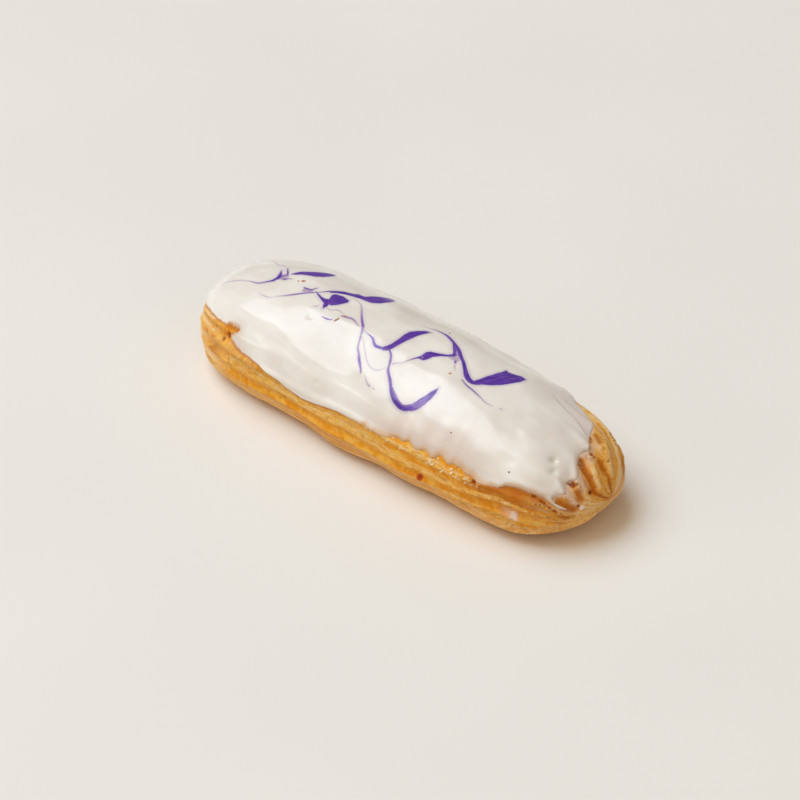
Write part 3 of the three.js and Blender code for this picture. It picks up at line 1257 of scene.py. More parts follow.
@dataclass
class ChouxFinger:
    """The baked finger, with torn crests, cracks, burst bubbles and grooves. Sizes are in millimetres."""

    loaf: Loaf
    ribs: Ribs
    edge: IcingEdge
    around: int = 220
    along: int = 440
    fibre: Texture = Texture(Seed.FIBRE, (3.2, 0.75, 0.75), 0.24)
    thread: Texture = Texture(Seed.THREAD, (1.1, 0.45, 0.45), 0.1)
    blister: Texture = Texture(Seed.DOUGH, (5.5, 3.2, 3.2), 0.14)
    # How torn a crest is outside the stripes, and at the sloping tip.
    torn_crest: float = 0.4
    torn_tip: float = 0.6
    # The slits in the flanks of the stripes, and where those flanks are whole.
    slit_depth: float = 0.35
    slit: Span = Span(0.2, 0.7)
    slit_noise: Texture = Texture(Seed.THREAD, (1.5, 0.6, 0.6), shift=17.0)
    flank: Span = Span(0.12, 0.25)
    flank_least: float = 0.25
    flank_start: Span = Span(22.0, 44.0)
    whole: Span = Span(-0.25, 0.25)
    whole_noise: Texture = Texture(Seed.DOUGH, (9.0, 4.0, 4.0), shift=5.0)
    # The ridges that fan out over the sloping tip, and how far both tips are drawn in.
    tip_ridge: float = 0.22
    ridge_length: float = 9.0
    ridge_count: float = 11.0
    ridge_shift: float = 2.0
    tip_draw: float = 0.25
    drawn: Span = Span(0.95, 1.0)
    # Where the crust is bare, by the height above the icing's edge.
    uncovered: Span = Span(1.6, -0.4)
    # Dents in the crust; how dark each is sets the painted shade inside it.
    holes: tuple[Hole, ...] = (
        # Burst bubbles.
        Hole(-51.4, 153.0, 1.0, 1.1, 0.75), Hole(-53.1, 159.5, 0.7, 0.7, 0.6),
        *groove(Hole(-52.8, 146.0, 0.7, 0.4, 0.45), Hole(-48.6, 145.0, 0.5, 0.4, 0.45), steps=8),
        Hole(71.4, 127.0, 0.6, 0.8), Hole(70.5, 160.0, 0.5, 0.5, 0.8), Hole(65.1, 81.0, 0.5, 0.6, 0.8),
        Hole(66.1, 80.0, 0.5, 0.5, 0.6), Hole(68.8, 68.0, 0.4, 0.5, 0.6), Hole(44.0, 163.5, 0.6, 0.7),
        Hole(-31.0, 12.0, 0.9, 1.0), Hole(22.0, 20.0, 0.7, 0.8),
        # The crack that opens at the end of the lip.
        *groove(Hole(60.2, 67.5, 0.4, 0.7, 0.9), Hole(62.4, 69.0, 0.4, 0.5, 0.8)),
        # Two grooves that run out from under the icing at the sloping tip.
        *groove(
            Hole(64.7, 95.5, 0.9, 1.3, 0.9), Hole(65.8, 98.0, 1.0, 1.2, 0.66),
            Hole(69.2, 105.5, 1.0, 1.0, 0.6), Hole(71.3, 115.5, 0.9, 0.7, 0.5),
            Hole(72.4, 127.0, 0.8, 0.3, 0.3),
        ),
        *groove(Hole(66.3, 123.5, 0.7, 1.3), Hole(67.5, 126.0, 0.6, 1.1)),
        *groove(Hole(69.3, 133.5, 1.2, 0.4, 0.4), Hole(70.3, 143.5, 1.4, 0.4, 0.42)),
        # Shallow grooves at the tip, with painted shade in them.
        *groove(Hole(66.8, 157.5, 1.4, 0.3, 0.42), Hole(69.8, 168.0, 1.4, 0.3, 0.4)),
        *groove(Hole(61.4, 60.0, 1.0, 0.2, 0.38), Hole(63.6, 61.5, 1.0, 0.2, 0.38)),
        *groove(Hole(67.6, 77.5, 1.0, 0.2, 0.38), Hole(69.8, 79.0, 1.0, 0.2, 0.38)),
        # A row of perforations along the next groove.
        *groove(
            Hole(60.3, 153.5, 0.4, 0.3, 0.42), Hole(63.9, 160.5, 0.35, 0.3, 0.42),
            Hole(66.8, 173.0, 0.3, 0.2, 0.35),
        ),
        *groove(Hole(60.5, 154.0, 0.4, 0.7), Hole(61.2, 155.3, 0.3, 0.6, 0.8), steps=3),
        *groove(Hole(62.7, 158.0, 0.35, 0.6), Hole(63.7, 160.2, 0.3, 0.5, 0.8), steps=3),
        Hole(65.0, 165.0, 0.3, 0.5, 0.8),
        *groove(Hole(66.1, 169.5, 0.3, 0.4, 0.7), Hole(66.6, 172.0, 0.3, 0.4, 0.7), steps=3),
    )
    # Icing smeared along a ridge of the tip.
    smears: tuple[Hole, ...] = (
        *groove(
            Hole(66.6, 135.0, 0.8, 0.0, 0.8), Hole(68.3, 144.5, 0.7, 0.0, 0.8),
            Hole(70.4, 158.0, 0.7, 0.0, 0.7),
        ),
        *groove(Hole(67.6, 115.5, 1.1, 0.0, 0.7), Hole(69.6, 122.5, 1.0, 0.0, 0.5)),
        *groove(Hole(63.8, 74.0, 0.9, 0.0, 0.5), Hole(66.4, 89.0, 1.2, 0.0, 0.35)),
        # And a fainter trace of it beside the white smear.
        *groove(Hole(54.3, 183.5, 1.2, 0.0, 0.3), Hole(56.4, 186.0, 1.4, 0.0, 0.4)),
    )
    # The burnt spot, and where it is full by shares of its radius.
    ember: Hole = Hole(25.6, 194.5, 1.25, 0.0)
    ember_edge: Span = Span(1.25, 0.2)
    # A white smear of icing: how far from its middle it is full, and how ragged its edge is.
    smear: Hole = Hole(56.9, 186.5, 1.7, 0.2, 0.9)
    smear_core: float = 0.6
    smear_ragged: float = 0.5
    smear_closeness: float = 1.1
    # Loose flakes of crust.
    flakes: tuple[Hole, ...] = (
        *groove(Hole(-48.6, 161.0, 1.5, 0.45), Hole(-45.2, 162.5, 1.4, 0.4)),
        Hole(-40.8, 165.8, 1.5, 0.35),
    )
    # Height of the line where the golden side ends and the pale foot begins: stops of along and height.
    foot_line: Line = (
        (-57.0, 5.7), (-49.0, 5.9), (-44.0, 6.8), (-39.0, 7.8), (-31.0, 8.2), (-22.0, 6.9), (-14.0, 6.9),
        (-6.0, 8.2), (3.0, 8.4), (11.0, 8.0), (21.0, 8.4), (62.0, 8.0), (67.0, 10.0), (71.0, 12.5),
    )
    foot_edge: Span = Span(0.2, -1.0)
    # The paler dough of the blunt tip, along the finger and by the height above the icing's edge.
    pale: float = 0.65
    pale_along: Span = Span(-46.0, -56.0)
    pale_below: Span = Span(-1.2, -3.2)
    # The dark line below the icing, painted shadow of its edge on crust baked darker there, fades out along
    # the finger and is missing at the sloping tip.
    line_reach: float = 6.0
    line_tip: float = 3.0
    line_end: Span = Span(-4.0, 6.0)
    film: Film = Film()
    browning: Browning = Browning()
    tip_band: TipBand = TipBand()

    def build(self, finish: CrustFinish) -> bpy.types.Object:
        """Makes the finger and dresses it.

        Args:
            finish: Its crust.

        Returns:
            The object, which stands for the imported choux.
        """
        made = piece(ball(self.around, self.along), "choux_crust", finish.make())
        places = self.loaf.places(coordinates(made.data.vertices), Crowding.SIDES)
        relief, values = self.relief(places)
        points = places.bare + places.out * relief[:, None]
        points[:, 2] = np.maximum(points[:, 2], 0.0)
        place_vertices(made, points)
        hold(made, values)
        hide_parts("choux")
        return made

    def height(self, places: Places) -> Array:
        """How far the crust stands off the bare finger, in millimetres."""
        return self.relief(places)[0]

    def gap(self, places: Places, spot: Hole) -> Array:
        """Distance from places to the middle of a spot, in millimetres."""
        return places.distance(self.loaf.spot(spot.along, spot.turn).bare)

    def ridges(self, places: Places) -> Array:
        """The ridges that fan out from where the crests gather.

        Args:
            places: Where to read it.

        Returns:
            The height at each place, from -1 to 1.
        """
        angle = self.ribs.angle(places)
        lengthwise = places.flow[:, 0] / self.ridge_length
        fan = (lengthwise, self.ridge_count * np.cos(angle), self.ridge_count * np.sin(angle))
        return Grain(Seed.DOUGH)(np.column_stack(fan) + self.ridge_shift)

    def smeared(self, places: Places) -> Array:
        """How much of the white smear there is, from 0 to 1."""
        ragged = self.smear_ragged * Grain(Seed.THREAD)(places.flow * self.smear_closeness)
        return smooth(self.gap(places, self.smear) + ragged, self.smear.radius, self.smear_core)

    def relief(self, places: Places) -> tuple[Array, dict[str, Array]]:
        """Works out how far the crust stands off the bare finger, and what its material reads.

        Args:
            places: The vertices' places.

        Returns:
            The relief in millimetres, and the values to store at the vertices.
        """
        crest = self.ribs.crest(places)
        inside = self.edge.inside(places, crest)
        bare = self.uncovered(inside)
        near_tip = self.loaf.sloping_tip(places.along)
        stripe = np.maximum(self.ribs.stripe(places), self.torn_tip * near_tip * crest)
        torn = np.maximum(stripe, self.torn_crest * crest) * (self.fibre(places) + self.thread(places))
        shown = self.flank_least + (1.0 - self.flank_least) * self.flank_start(places.x)
        flank = self.flank(stripe * (1.0 - stripe)) * (shown * self.whole(self.whole_noise(places)))
        slit = self.slit(self.slit_noise(places)) * flank
        ridge = self.ridges(places)
        hole_depth, hole_dark = dents(places, self.loaf, self.holes)
        raised, flake = dents(places, self.loaf, self.flakes)
        smear = self.smeared(places)

        relief = self.ribs.rise(places, crest) + self.tip_ridge * ridge * near_tip * bare
        relief += bare * (torn + self.blister(places))
        relief -= bare * (self.slit_depth * slit + hole_depth)
        relief -= self.tip_draw * self.drawn(np.abs(places.along))
        relief += self.smear.depth * smear
        relief += raised * bare

        film = self.film.share(places, near_tip, crest, -inside, hole_dark)
        film = np.maximum(film, dents(places, self.loaf, self.smears)[1])
        below = np.clip(-inside, 0.0, self.line_reach)
        foot_top = np.interp(places.x, *np.array(self.foot_line).T)
        values = {
            "flow": places.flow,
            "stripe": stripe,
            "below": below + self.line_tip * near_tip + self.line_end(places.x),
            "hole_shade": hole_dark * bare,
            "flank": flank * bare,
            "foot": self.foot_edge(places.z - foot_top),
            "film": np.maximum(film, self.smear.dark * smear),
            "pale": self.pale * self.pale_along(places.x) * self.pale_below(inside),
            "flake": flake,
            "toast": self.browning.share(places),
            "tip": self.tip_band.share(places, near_tip),
            "ridge": ridge,
            "ember": self.ember_edge(self.gap(places, self.ember) / self.ember.radius),
        }
        return relief, values


@dataclass(frozen=True)
class Stroke:
    """One drawn line of purple: stops of along in mm, turn in degrees and half width in mm, and how dark.

    depth gives the darkness at the start, in the middle and at the end, from 0 for none to 1 for full.
    """

    stops: Stops
    depth: Triple


@dataclass(frozen=True)
class Blot:
    """A filled patch of purple: corners of along in mm and turn in degrees, and how dark.

    The darkness runs from the first corner to the corner that is farthest from it.
    """

    corners: Line
    depth: Triple


WASH = (0.32, 0.36, 0.32)
FAINT = (0.24, 0.3, 0.22)
SOFT = (0.4, 0.5, 0.36)

PURPLE = (
    # The thin line, the thorn and the crumbs of colour at the blunt tip.
    Blot(((-49.9, 95), (-50.5, 87), (-49.2, 86), (-48.3, 83), (-47.2, 86), (-48.0, 91)), WASH),
    Stroke(((-65.2, 115, 0.12), (-63.7, 111, 0.2), (-59.5, 106, 0.28), (-55.8, 104, 0.28)), FAINT),
    Stroke(((-56.5, 104, 0.28), (-53.2, 103, 0.3), (-51.4, 99, 0.36), (-49.8, 95, 0.5)), (0.3, 0.5, 0.8)),
    Stroke(((-50.2, 96, 0.4), (-49.7, 91, 0.62), (-50.5, 86, 0.45), (-51.9, 81, 0.08)), (0.8, 0.9, 0.7)),
    Stroke(((-49.6, 88, 0.3), (-48.6, 84, 0.34), (-49.9, 80, 0.28), (-51.7, 75, 0.08)), (0.75, 0.7, 0.5)),
    Stroke(((-48.0, 91, 0.15), (-47.3, 90, 0.42), (-46.5, 88, 0.2), (-45.4, 87, 0.1)), (0.8, 0.8, 0.4)),
    Stroke(((-60.5, 66, 0.12), (-56.2, 73, 0.24), (-54.1, 73, 0.22), (-52.3, 75, 0.1)), FAINT),
    # The bar behind it.
    Blot(
        (
            (-47.8, 83), (-47.4, 79), (-46.5, 74), (-44.0, 69.5), (-41.6, 65), (-39.8, 61), (-38.5, 60),
            (-38.0, 63), (-38.3, 67), (-39.0, 71), (-40.9, 75), (-42.9, 76.5), (-45.1, 78.5), (-46.2, 81),
        ),
        (0.95, 0.9, 0.85),
    ),
    # The long line that ends in a drop, with its side branch.
    Stroke(((-49.7, 111, 0.1), (-47.7, 111.5, 0.22), (-45.4, 111, 0.15), (-43.8, 108, 0.2)), FAINT),
    Stroke(
        ((-43.8, 108, 0.2), (-41.5, 105, 0.28), (-39.3, 101, 0.36), (-37.2, 96, 0.36)),
        (0.26, 0.42, 0.5),
    ),
    Stroke(((-37.2, 96, 0.36), (-35.1, 92, 0.28), (-33.4, 88, 0.2), (-32.0, 84, 0.35)), (0.5, 0.4, 0.7)),
    Blot(
        (
            (-32.4, 84.5), (-31.1, 81.5), (-28.9, 77), (-26.3, 74.5), (-25.1, 72), (-23.9, 72),
            (-22.8, 71.5), (-21.9, 68), (-19.6, 62), (-18.1, 59), (-16.3, 58), (-15.4, 61), (-15.5, 66),
            (-16.8, 73), (-18.6, 76), (-20.6, 76.5), (-22.7, 76.5), (-24.8, 77.5), (-27.3, 79.5),
            (-29.7, 82.5), (-31.1, 85),
        ),
        (1.05, 0.95, 0.9),
    ),
    Blot(((-39.4, 90), (-36.7, 90), (-35.0, 91.5), (-38.5, 96)), WASH),
    Stroke(((-39.4, 91, 0.2), (-38.3, 91, 0.3), (-36.7, 90, 0.38), (-35.9, 86, 0.12)), (0.45, 0.65, 0.5)),
    # The small fish.
    Blot(
        (
            (-35.4, 89.5), (-33.6, 91), (-31.8, 92.5), (-30.3, 92.8), (-29.0, 91), (-27.6, 96),
            (-27.3, 98), (-27.5, 102.5), (-28.7, 99.5), (-29.0, 97.5), (-30.1, 96.5), (-31.9, 94.5),
            (-33.7, 92.5),
        ),
        (0.6, 0.9, 1.05),
    ),
    Blot(
        (
            (-29.3, 92), (-30.2, 86), (-29.6, 83.8), (-27.3, 82.5), (-24.5, 83.5), (-24.1, 86),
            (-24.6, 89), (-25.6, 93), (-26.7, 96), (-27.8, 96.5),
        ),
        (0.85, 1.05, 1.1),
    ),
    Stroke(((-30.8, 104, 0.12), (-29.9, 103, 0.26), (-29.4, 101, 0.12)), FAINT),
    Stroke(((-25.7, 108, 0.12), (-24.0, 108, 0.3), (-22.6, 107, 0.26), (-22.4, 105, 0.1)), SOFT),
    # Threads that run down from the fish.
    Stroke(
        (
            (-26.9, 100, 0.2), (-25.3, 100, 0.24), (-24.3, 97.5, 0.22), (-22.8, 97, 0.24),
            (-21.4, 98, 0.15),
        ),
        FAINT,
    ),
    Stroke(
        ((-20.9, 100, 0.4), (-19.1, 99, 0.42), (-17.3, 98.5, 0.34), (-14.1, 101, 0.2)),
        (0.36, 0.4, 0.3),
    ),
    Stroke(((-27.2, 80, 0.15), (-23.1, 80, 0.22), (-20.1, 83, 0.28), (-17.6, 89, 0.3)), (0.2, 0.24, 0.36)),
    Stroke(
        ((-17.6, 89, 0.3), (-15.2, 95, 0.36), (-12.9, 100, 0.42), (-11.7, 104, 0.36)),
        (0.36, 0.5, 0.42),
    ),
    Stroke(
        ((-11.7, 104, 0.36), (-10.1, 111, 0.3), (-8.9, 116, 0.3), (-7.1, 120, 0.36)),
        (0.42, 0.36, 0.42),
    ),
    Stroke(((-7.1, 120, 0.36), (-6.0, 123, 0.46), (-3.3, 129, 0.32), (-2.7, 131, 0.22)), (0.42, 0.5, 0.42)),
    Stroke(
        (
            (-11.1, 106, 0.15), (-8.0, 112, 0.22), (-4.3, 120, 0.24), (-1.6, 124, 0.28),
            (0.5, 124.5, 0.28), (2.0, 123, 0.24), (2.9, 118.5, 0.12),
        ),
        (0.2, 0.24, 0.2),
    ),
    Stroke(((-1.8, 129, 0.1), (-0.6, 132, 0.18), (0.9, 135, 0.26), (2.1, 136.2, 0.3)), (0.16, 0.26, 0.34)),
    Stroke(((3.4, 136.2, 0.26), (3.8, 136.6, 0.26)), FAINT),
    # The hook with a thick arm.
    Stroke(((-12.7, 101, 0.2), (-10.8, 103, 0.22), (-8.6, 104, 0.26), (-7.2, 105, 0.36)), (0.3, 0.34, 0.6)),
    Stroke(((-7.2, 105, 0.36), (-5.5, 108, 0.44), (-4.4, 109, 0.55), (-2.3, 108, 0.5)), (0.6, 0.7, 0.85)),
    Blot(
        (
            (-3.2, 108.5), (-2.0, 104.5), (-1.5, 101), (-1.2, 94), (-1.3, 89), (-1.1, 84), (0.2, 79.5),
            (1.8, 75), (3.4, 73.5), (2.8, 78), (1.8, 84), (1.3, 90), (0.8, 95), (0.4, 100), (-0.1, 104.5),
            (-0.7, 107.5), (-1.7, 109.5),
        ),
        (0.75, 0.95, 1.05),
    ),
    # The bowl-shaped curve: a dark bottom and a pale right arm with a dark end.
    Stroke(((-0.3, 106.5, 0.3), (1.1, 109, 0.36), (2.3, 113, 0.36), (3.2, 117, 0.3)), (0.75, 0.6, 0.5)),
    Stroke(
        ((3.2, 117, 0.3), (4.0, 120, 0.42), (5.3, 123, 0.42), (6.8, 126, 0.5), (7.8, 128.5, 0.5)),
        (0.5, 0.75, 0.7),
    ),
    Blot(
        (
            (7.2, 127.5), (9.1, 133), (11.2, 137), (13.6, 139), (15.9, 139), (17.9, 137), (17.2, 132.5),
            (15.5, 135), (14.2, 136), (12.6, 135), (10.4, 132), (8.4, 128.5),
        ),
        (0.6, 0.58, 0.6),
    ),
    Blot(
        (
            (15.2, 136.5), (15.6, 134.5), (16.8, 132.5), (18.0, 128), (19.1, 123), (19.6, 119),
            (20.6, 114), (21.3, 118), (21.3, 124), (20.7, 129), (19.5, 134), (17.9, 137.5),
        ),
        (0.64, 0.6, 0.68),
    ),
    Stroke(((7.4, 128, 0.3), (9.3, 133, 0.42), (11.4, 136.8, 0.52), (13.7, 138.5, 0.66)), (0.9, 1.3, 1.4)),
    Stroke(
        ((13.7, 138.5, 0.66), (15.0, 138.6, 0.6), (16.2, 138, 0.5), (17.4, 136.8, 0.2)),
        (1.4, 1.1, 0.8),
    ),
    Stroke(((8.4, 129, 0.2), (10.4, 132, 0.22), (12.6, 135, 0.22), (14.4, 136, 0.12)), (0.65, 0.6, 0.5)),
    Blot(((19.2, 122.5), (19.6, 119), (20.7, 113.5), (21.3, 118), (21.2, 121.5)), (0.8, 0.9, 0.95)),
    # The middle bar, its whisker and its fork to the loop.
    Stroke(
        ((3.6, 114, 0.32), (4.3, 112, 0.26), (5.5, 110, 0.18), (6.5, 107, 0.24), (7.4, 103, 0.3)),
        (0.3, 0.3, 0.4),
    ),
    Stroke(((7.2, 104, 0.28), (7.8, 101.5, 0.32), (8.6, 99, 0.5)), (0.4, 0.7, 0.9)),
    Blot(((15.5, 85), (13.0, 76), (15.2, 78), (17.5, 82), (18.4, 86), (17.9, 88.5), (14.8, 88)), WASH),
    Blot(
        (
            (8.0, 101), (8.3, 97), (8.4, 93), (9.2, 90.5), (10.5, 89.5), (12.4, 87.8), (14.1, 86),
            (15.3, 82.5), (16.1, 84), (14.8, 87.3), (13.0, 90), (11.4, 94), (10.8, 98), (10.2, 100.3),
            (9.2, 100.8),
        ),
        (0.8, 1.05, 0.9),
    ),
    Stroke(((9.0, 98.5, 0.22), (9.4, 96.8, 0.26)), (0.3, 0.3, 0.3)),
    Stroke(((15.7, 84.5, 0.4), (14.6, 80.5, 0.42), (13.1, 77, 0.36), (11.6, 73.5, 0.3)), (0.95, 0.85, 0.7)),
    Stroke(((17.7, 88, 0.34), (18.1, 89.5, 0.34)), (0.6, 0.6, 0.5)),
    Stroke(((18.2, 90, 0.2), (19.2, 93, 0.2), (20.2, 95.5, 0.1)), FAINT),
    # The loop that swings round into a leaf, and the leaf's trailing thread.
    Stroke(
        ((-1.0, 72, 0.1), (2.4, 69, 0.22), (5.4, 68, 0.36), (8.1, 69, 0.46), (11.0, 72, 0.5)),
        (0.2, 0.5, 0.8),
    ),
    Stroke(
        (
            (11.0, 72, 0.5), (14.8, 77, 0.58), (17.7, 82, 0.52), (20.0, 86, 0.56), (21.9, 90, 0.62),
            (23.8, 93.8, 0.8), (25.6, 96, 0.78), (27.2, 96, 0.7), (28.6, 94, 0.6),
        ),
        (0.8, 0.95, 1.05),
    ),
    Blot(
        (
            (26.6, 95.5), (27.5, 90.5), (28.1, 85), (28.9, 79.5), (29.6, 73), (29.7, 68.5), (30.9, 69.5),
            (32.8, 68), (34.5, 66), (36.4, 67), (36.2, 73), (35.1, 79), (33.4, 85), (31.4, 90),
            (29.5, 93.5), (27.8, 96.5),
        ),
        (0.95, 0.98, 1.1),
    ),
    Stroke(((24.0, 99, 0.26), (26.3, 101, 0.3), (28.9, 102, 0.3), (31.0, 103, 0.28)), (0.36, 0.46, 0.4)),
    Stroke(((31.0, 103, 0.28), (32.8, 104, 0.22), (34.8, 105, 0.24), (37.0, 104.2, 0.1)), (0.4, 0.3, 0.24)),
    Stroke(((38.9, 103.2, 0.22), (39.8, 102.8, 0.2)), FAINT),
)


@dataclass(frozen=True)
class Marbling:
    """The purple that was drawn through the icing, as a chart of lines on the finger's top."""

    marks: tuple[Stroke | Blot, ...] = PURPLE
    mm_per_degree: float = 0.42
    bead_gap: float = 0.12
    margin: float = 1.2
    least_width: float = 0.02
    # How far apart the coordinates of two marks are, so that their streaks differ.
    flow_step: float = 7.0

    def chart(self, places: Places) -> Array:
        """Unrolls places on the finger to flat rows of millimetres along it and round it."""
        return np.column_stack((places.x, np.degrees(places.turn) * self.mm_per_degree))

    def beads(self, stroke: Stroke) -> Array:
        """Follows a stroke with a chain of round beads that overlap.

        Args:
            stroke: The stroke.

        Returns:
            Rows of a bead's two chart coordinates, its radius and its darkness.
        """
        stops = np.array(stroke.stops) * np.array((1.0, self.mm_per_degree, 1.0))
        padded = np.vstack((2.0 * stops[0] - stops[1], stops, 2.0 * stops[-1] - stops[-2]))
        rows = []
        for before, start, end, after in zip(padded, padded[1:], padded[2:], padded[3:]):
            steps = max(2, int(np.linalg.norm((end - start)[:2]) / self.bead_gap))
            t = np.linspace(0.0, 1.0, steps, endpoint=False)[:, None]
            bend = 2.0 * before - 5.0 * start + 4.0 * end - after
            swing = 3.0 * (start - end) + after - before
            rows.append(start + 0.5 * t * ((end - before) + t * (bend + t * swing)))
        path = np.vstack((*rows, stops[-1:]))
        path[:, 2] = np.maximum(path[:, 2], self.least_width)
        depth = np.interp(np.linspace(0.0, 2.0, len(path)), (0.0, 1.0, 2.0), stroke.depth)
        return np.column_stack((path, depth))

    def line(self, chart: Array, stroke: Stroke) -> Reading:
        """Finds how rows of the chart lie to a stroke.

        Args:
            chart: The rows.
            stroke: The stroke.

        Returns:
            The distance inside its edge, the darkness, and the places along it and across it.
        """
        beads = self.beads(stroke)
        offsets = chart[:, None, :] - beads[None, :, :2]
        within = beads[None, :, 2] - np.linalg.norm(offsets, axis=2)
        best = within.argmax(axis=1)
        rows = np.arange(len(chart))
        ahead = np.gradient(beads[:, :2], axis=0)[best]
        ahead /= np.linalg.norm(ahead, axis=1, keepdims=True)
        aside = offsets[rows, best] @ np.array(((0.0, -1.0), (1.0, 0.0)))
        return within[rows, best], beads[best, 3], best * self.bead_gap, (aside * ahead).sum(axis=1)

    def patch(self, chart: Array, blot: Blot) -> Reading:
        """Finds how rows of the chart lie to a blot.

        Args:
            chart: The rows.
            blot: The blot.

        Returns:
            The distance inside its edge, the darkness, and the places along it and across it.
        """
        corners = np.array(blot.corners) * np.array((1.0, self.mm_per_degree))
        side = np.roll(corners, -1, axis=0) - corners
        offsets = chart[:, None, :] - corners[None]
        share = np.clip((offsets * side).sum(axis=2) / (side**2).sum(axis=1), 0.0, 1.0)
        gap = np.linalg.norm(offsets - share[..., None] * side, axis=2).min(axis=1)
        above = offsets[..., 1] >= 0.0
        spans = above != (offsets[..., 1] >= side[:, 1])
        left = side[:, 0] * offsets[..., 1] > side[:, 1] * offsets[..., 0]
        odd = (spans & (left == (side[:, 1] > 0.0))).sum(axis=1) % 2 == 1
        far = corners[np.linalg.norm(corners - corners[0], axis=1).argmax()] - corners[0]
        length = np.linalg.norm(far)
        along = offsets[:, 0] @ far / length
        across = offsets[:, 0] @ np.array((-far[1], far[0])) / length
        depth = np.interp(2.0 * along / length, (0.0, 1.0, 2.0), blot.depth)
        return np.where(odd, gap, -gap), depth, along, across

    def reach(self, mark: Stroke | Blot) -> tuple[Array, Array]:
        """Finds the part of the chart that a mark may touch.

        Args:
            mark: The mark.

        Returns:
            Its lowest and its highest corner.
        """
        if isinstance(mark, Blot):
            points = np.array(mark.corners) * np.array((1.0, self.mm_per_degree))
            return points.min(axis=0) - self.margin, points.max(axis=0) + self.margin
        beads = self.beads(mark)
        low = (beads[:, :2] - beads[:, 2:3]).min(axis=0)
        high = (beads[:, :2] + beads[:, 2:3]).max(axis=0)
        return low - self.margin, high + self.margin

    def draw(self, places: Places) -> dict[str, Array]:
        """Finds how each place lies to the marks of purple. A later mark lies over the ones before it.

        Args:
            places: Where to read it.

        Returns:
            The distance inside a mark's edge, in millimetres and negative outside, the darkness there, and
            coordinates that run along the mark and across it.
        """
        chart = self.chart(places)
        edge = np.full(len(chart), -self.margin)
        depth = np.zeros(len(chart))
        flow = np.zeros((len(chart), 3))
        for number, mark in enumerate(self.marks):
            low, high = self.reach(mark)
            near = np.flatnonzero(((chart > low) & (chart < high)).all(axis=1))
            if len(near) == 0:
                continue
            read = self.patch if isinstance(mark, Blot) else self.line
            within, shade, along, across = read(chart[near], mark)
            wins = (within > 0.0) | (within > edge[near])
            depth[near[wins]] = shade[wins]
            apart = np.full(len(near), self.flow_step * number)
            flow[near[wins]] = np.column_stack((along, across, apart))[wins]
            edge[near] = np.maximum(edge[near], within)
        return {"ink_edge": edge, "ink_depth": depth, "ink_flow": flow}


@dataclass(frozen=True)
class Blush:
    """The warm tint of thin icing: wide on the near side, at a notch, and at the sloping tip."""

    near_side: Span = Span(2.0, -8.0)
    wide: float = 0.85
    wide_start: Span = Span(2.0, 16.0)
    wide_stop: Span = Span(54.0, 34.0)
    wide_edge: Span = Span(9.5, 1.0)
    notch: Sag = Sag(-47.0, 5.0, 0.6)
    notch_edge: Span = Span(4.0, 0.5)
    tip: float = 0.55
    tip_start: Span = Span(0.72, 0.86)
    tip_edge: Span = Span(3.5, 0.3)

    def share(self, places: Places, inside: Array) -> Array:
        """How warm the icing is.

        Args:
            places: The vertices' places.
            inside: Their height above the icing's edge.

        Returns:
            The share at each vertex.
        """
        x = places.x
        near = self.near_side(places.y)
        wide = self.wide * self.wide_start(x) * self.wide_stop(x) * near * self.wide_edge(inside)
        notch = self.notch.drop * bump(x - self.notch.along, self.notch.reach) * near
        tip = self.tip * self.tip_start(places.along) * self.tip_edge(inside)
        return np.maximum(np.maximum(wide, notch * self.notch_edge(inside)), tip)


@dataclass(frozen=True)
class Sheer:
    """Where the crust shows through: only at the edge, and most along the near side's middle."""

    start: Span = Span(-6.0, 6.0)
    less: float = 0.45
    less_start: Span = Span(42.0, 52.0)
    spot: Sag = Sag(-50.0, 3.5, 0.6)
    near_side: Span = Span(4.0, -6.0)
    # Below which height the crust shows, how much higher where the icing is soft, and where all shows.
    height: float = 0.6
    soft_height: float = 2.4
    full: float = -0.2
    tip_cover: float = 0.7
    tip_start: Span = Span(0.8, 0.9)

    def share(self, places: Places, inside: Array) -> Array:
        """How much of the crust shows through.

        Args:
            places: The vertices' places.
            inside: Their height above the icing's edge.

        Returns:
            The share at each vertex.
        """
        x = places.x
        soft = self.start(x) * (1.0 - self.less * self.less_start(x))
        soft += self.spot.drop * bump(x - self.spot.along, self.spot.reach)
        height = self.height + self.soft_height * soft * self.near_side(places.y)
        return smooth(inside, height, self.full) * (1.0 - self.tip_cover * self.tip_start(places.along))


@dataclass(frozen=True)
class Waves:
    """The unevenness of the icing's top, in millimetres: waves, swells, and ripples past the middle."""

    height: float = 0.2
    wave: Texture = Texture(Seed.WAVE, (16.0, 9.0, 9.0))
    swell: Texture = Texture(Seed.SWELL, (7.5, 6.5, 6.5), 0.4)
    ripple: Texture = Texture(Seed.RIPPLE, (4.6, 3.8, 3.8))
    ripple_least: float = 0.38
    ripple_near: float = 0.5
    near_side: Span = Span(1.0, -7.0)
    ripple_start: Span = Span(-24.0, -8.0)
    # Where they begin, by the height above the icing's edge.
    start: Span = Span(0.5, 5.0)

    def rise(self, places: Places, coarse: Array) -> Array:
        """How far the waves rise.

        Args:
            places: The vertices' places.
            coarse: Their height above the icing's edge, without the edge's small turns.

        Returns:
            The rise at each vertex, in millimetres.
        """
        strength = self.ripple_least + self.ripple_near * self.near_side(places.y)
        wave = self.wave(places) + self.swell(places)
        wave += strength * self.ripple_start(places.x) * self.ripple(places)
        return self.height * wave * self.start(coarse)


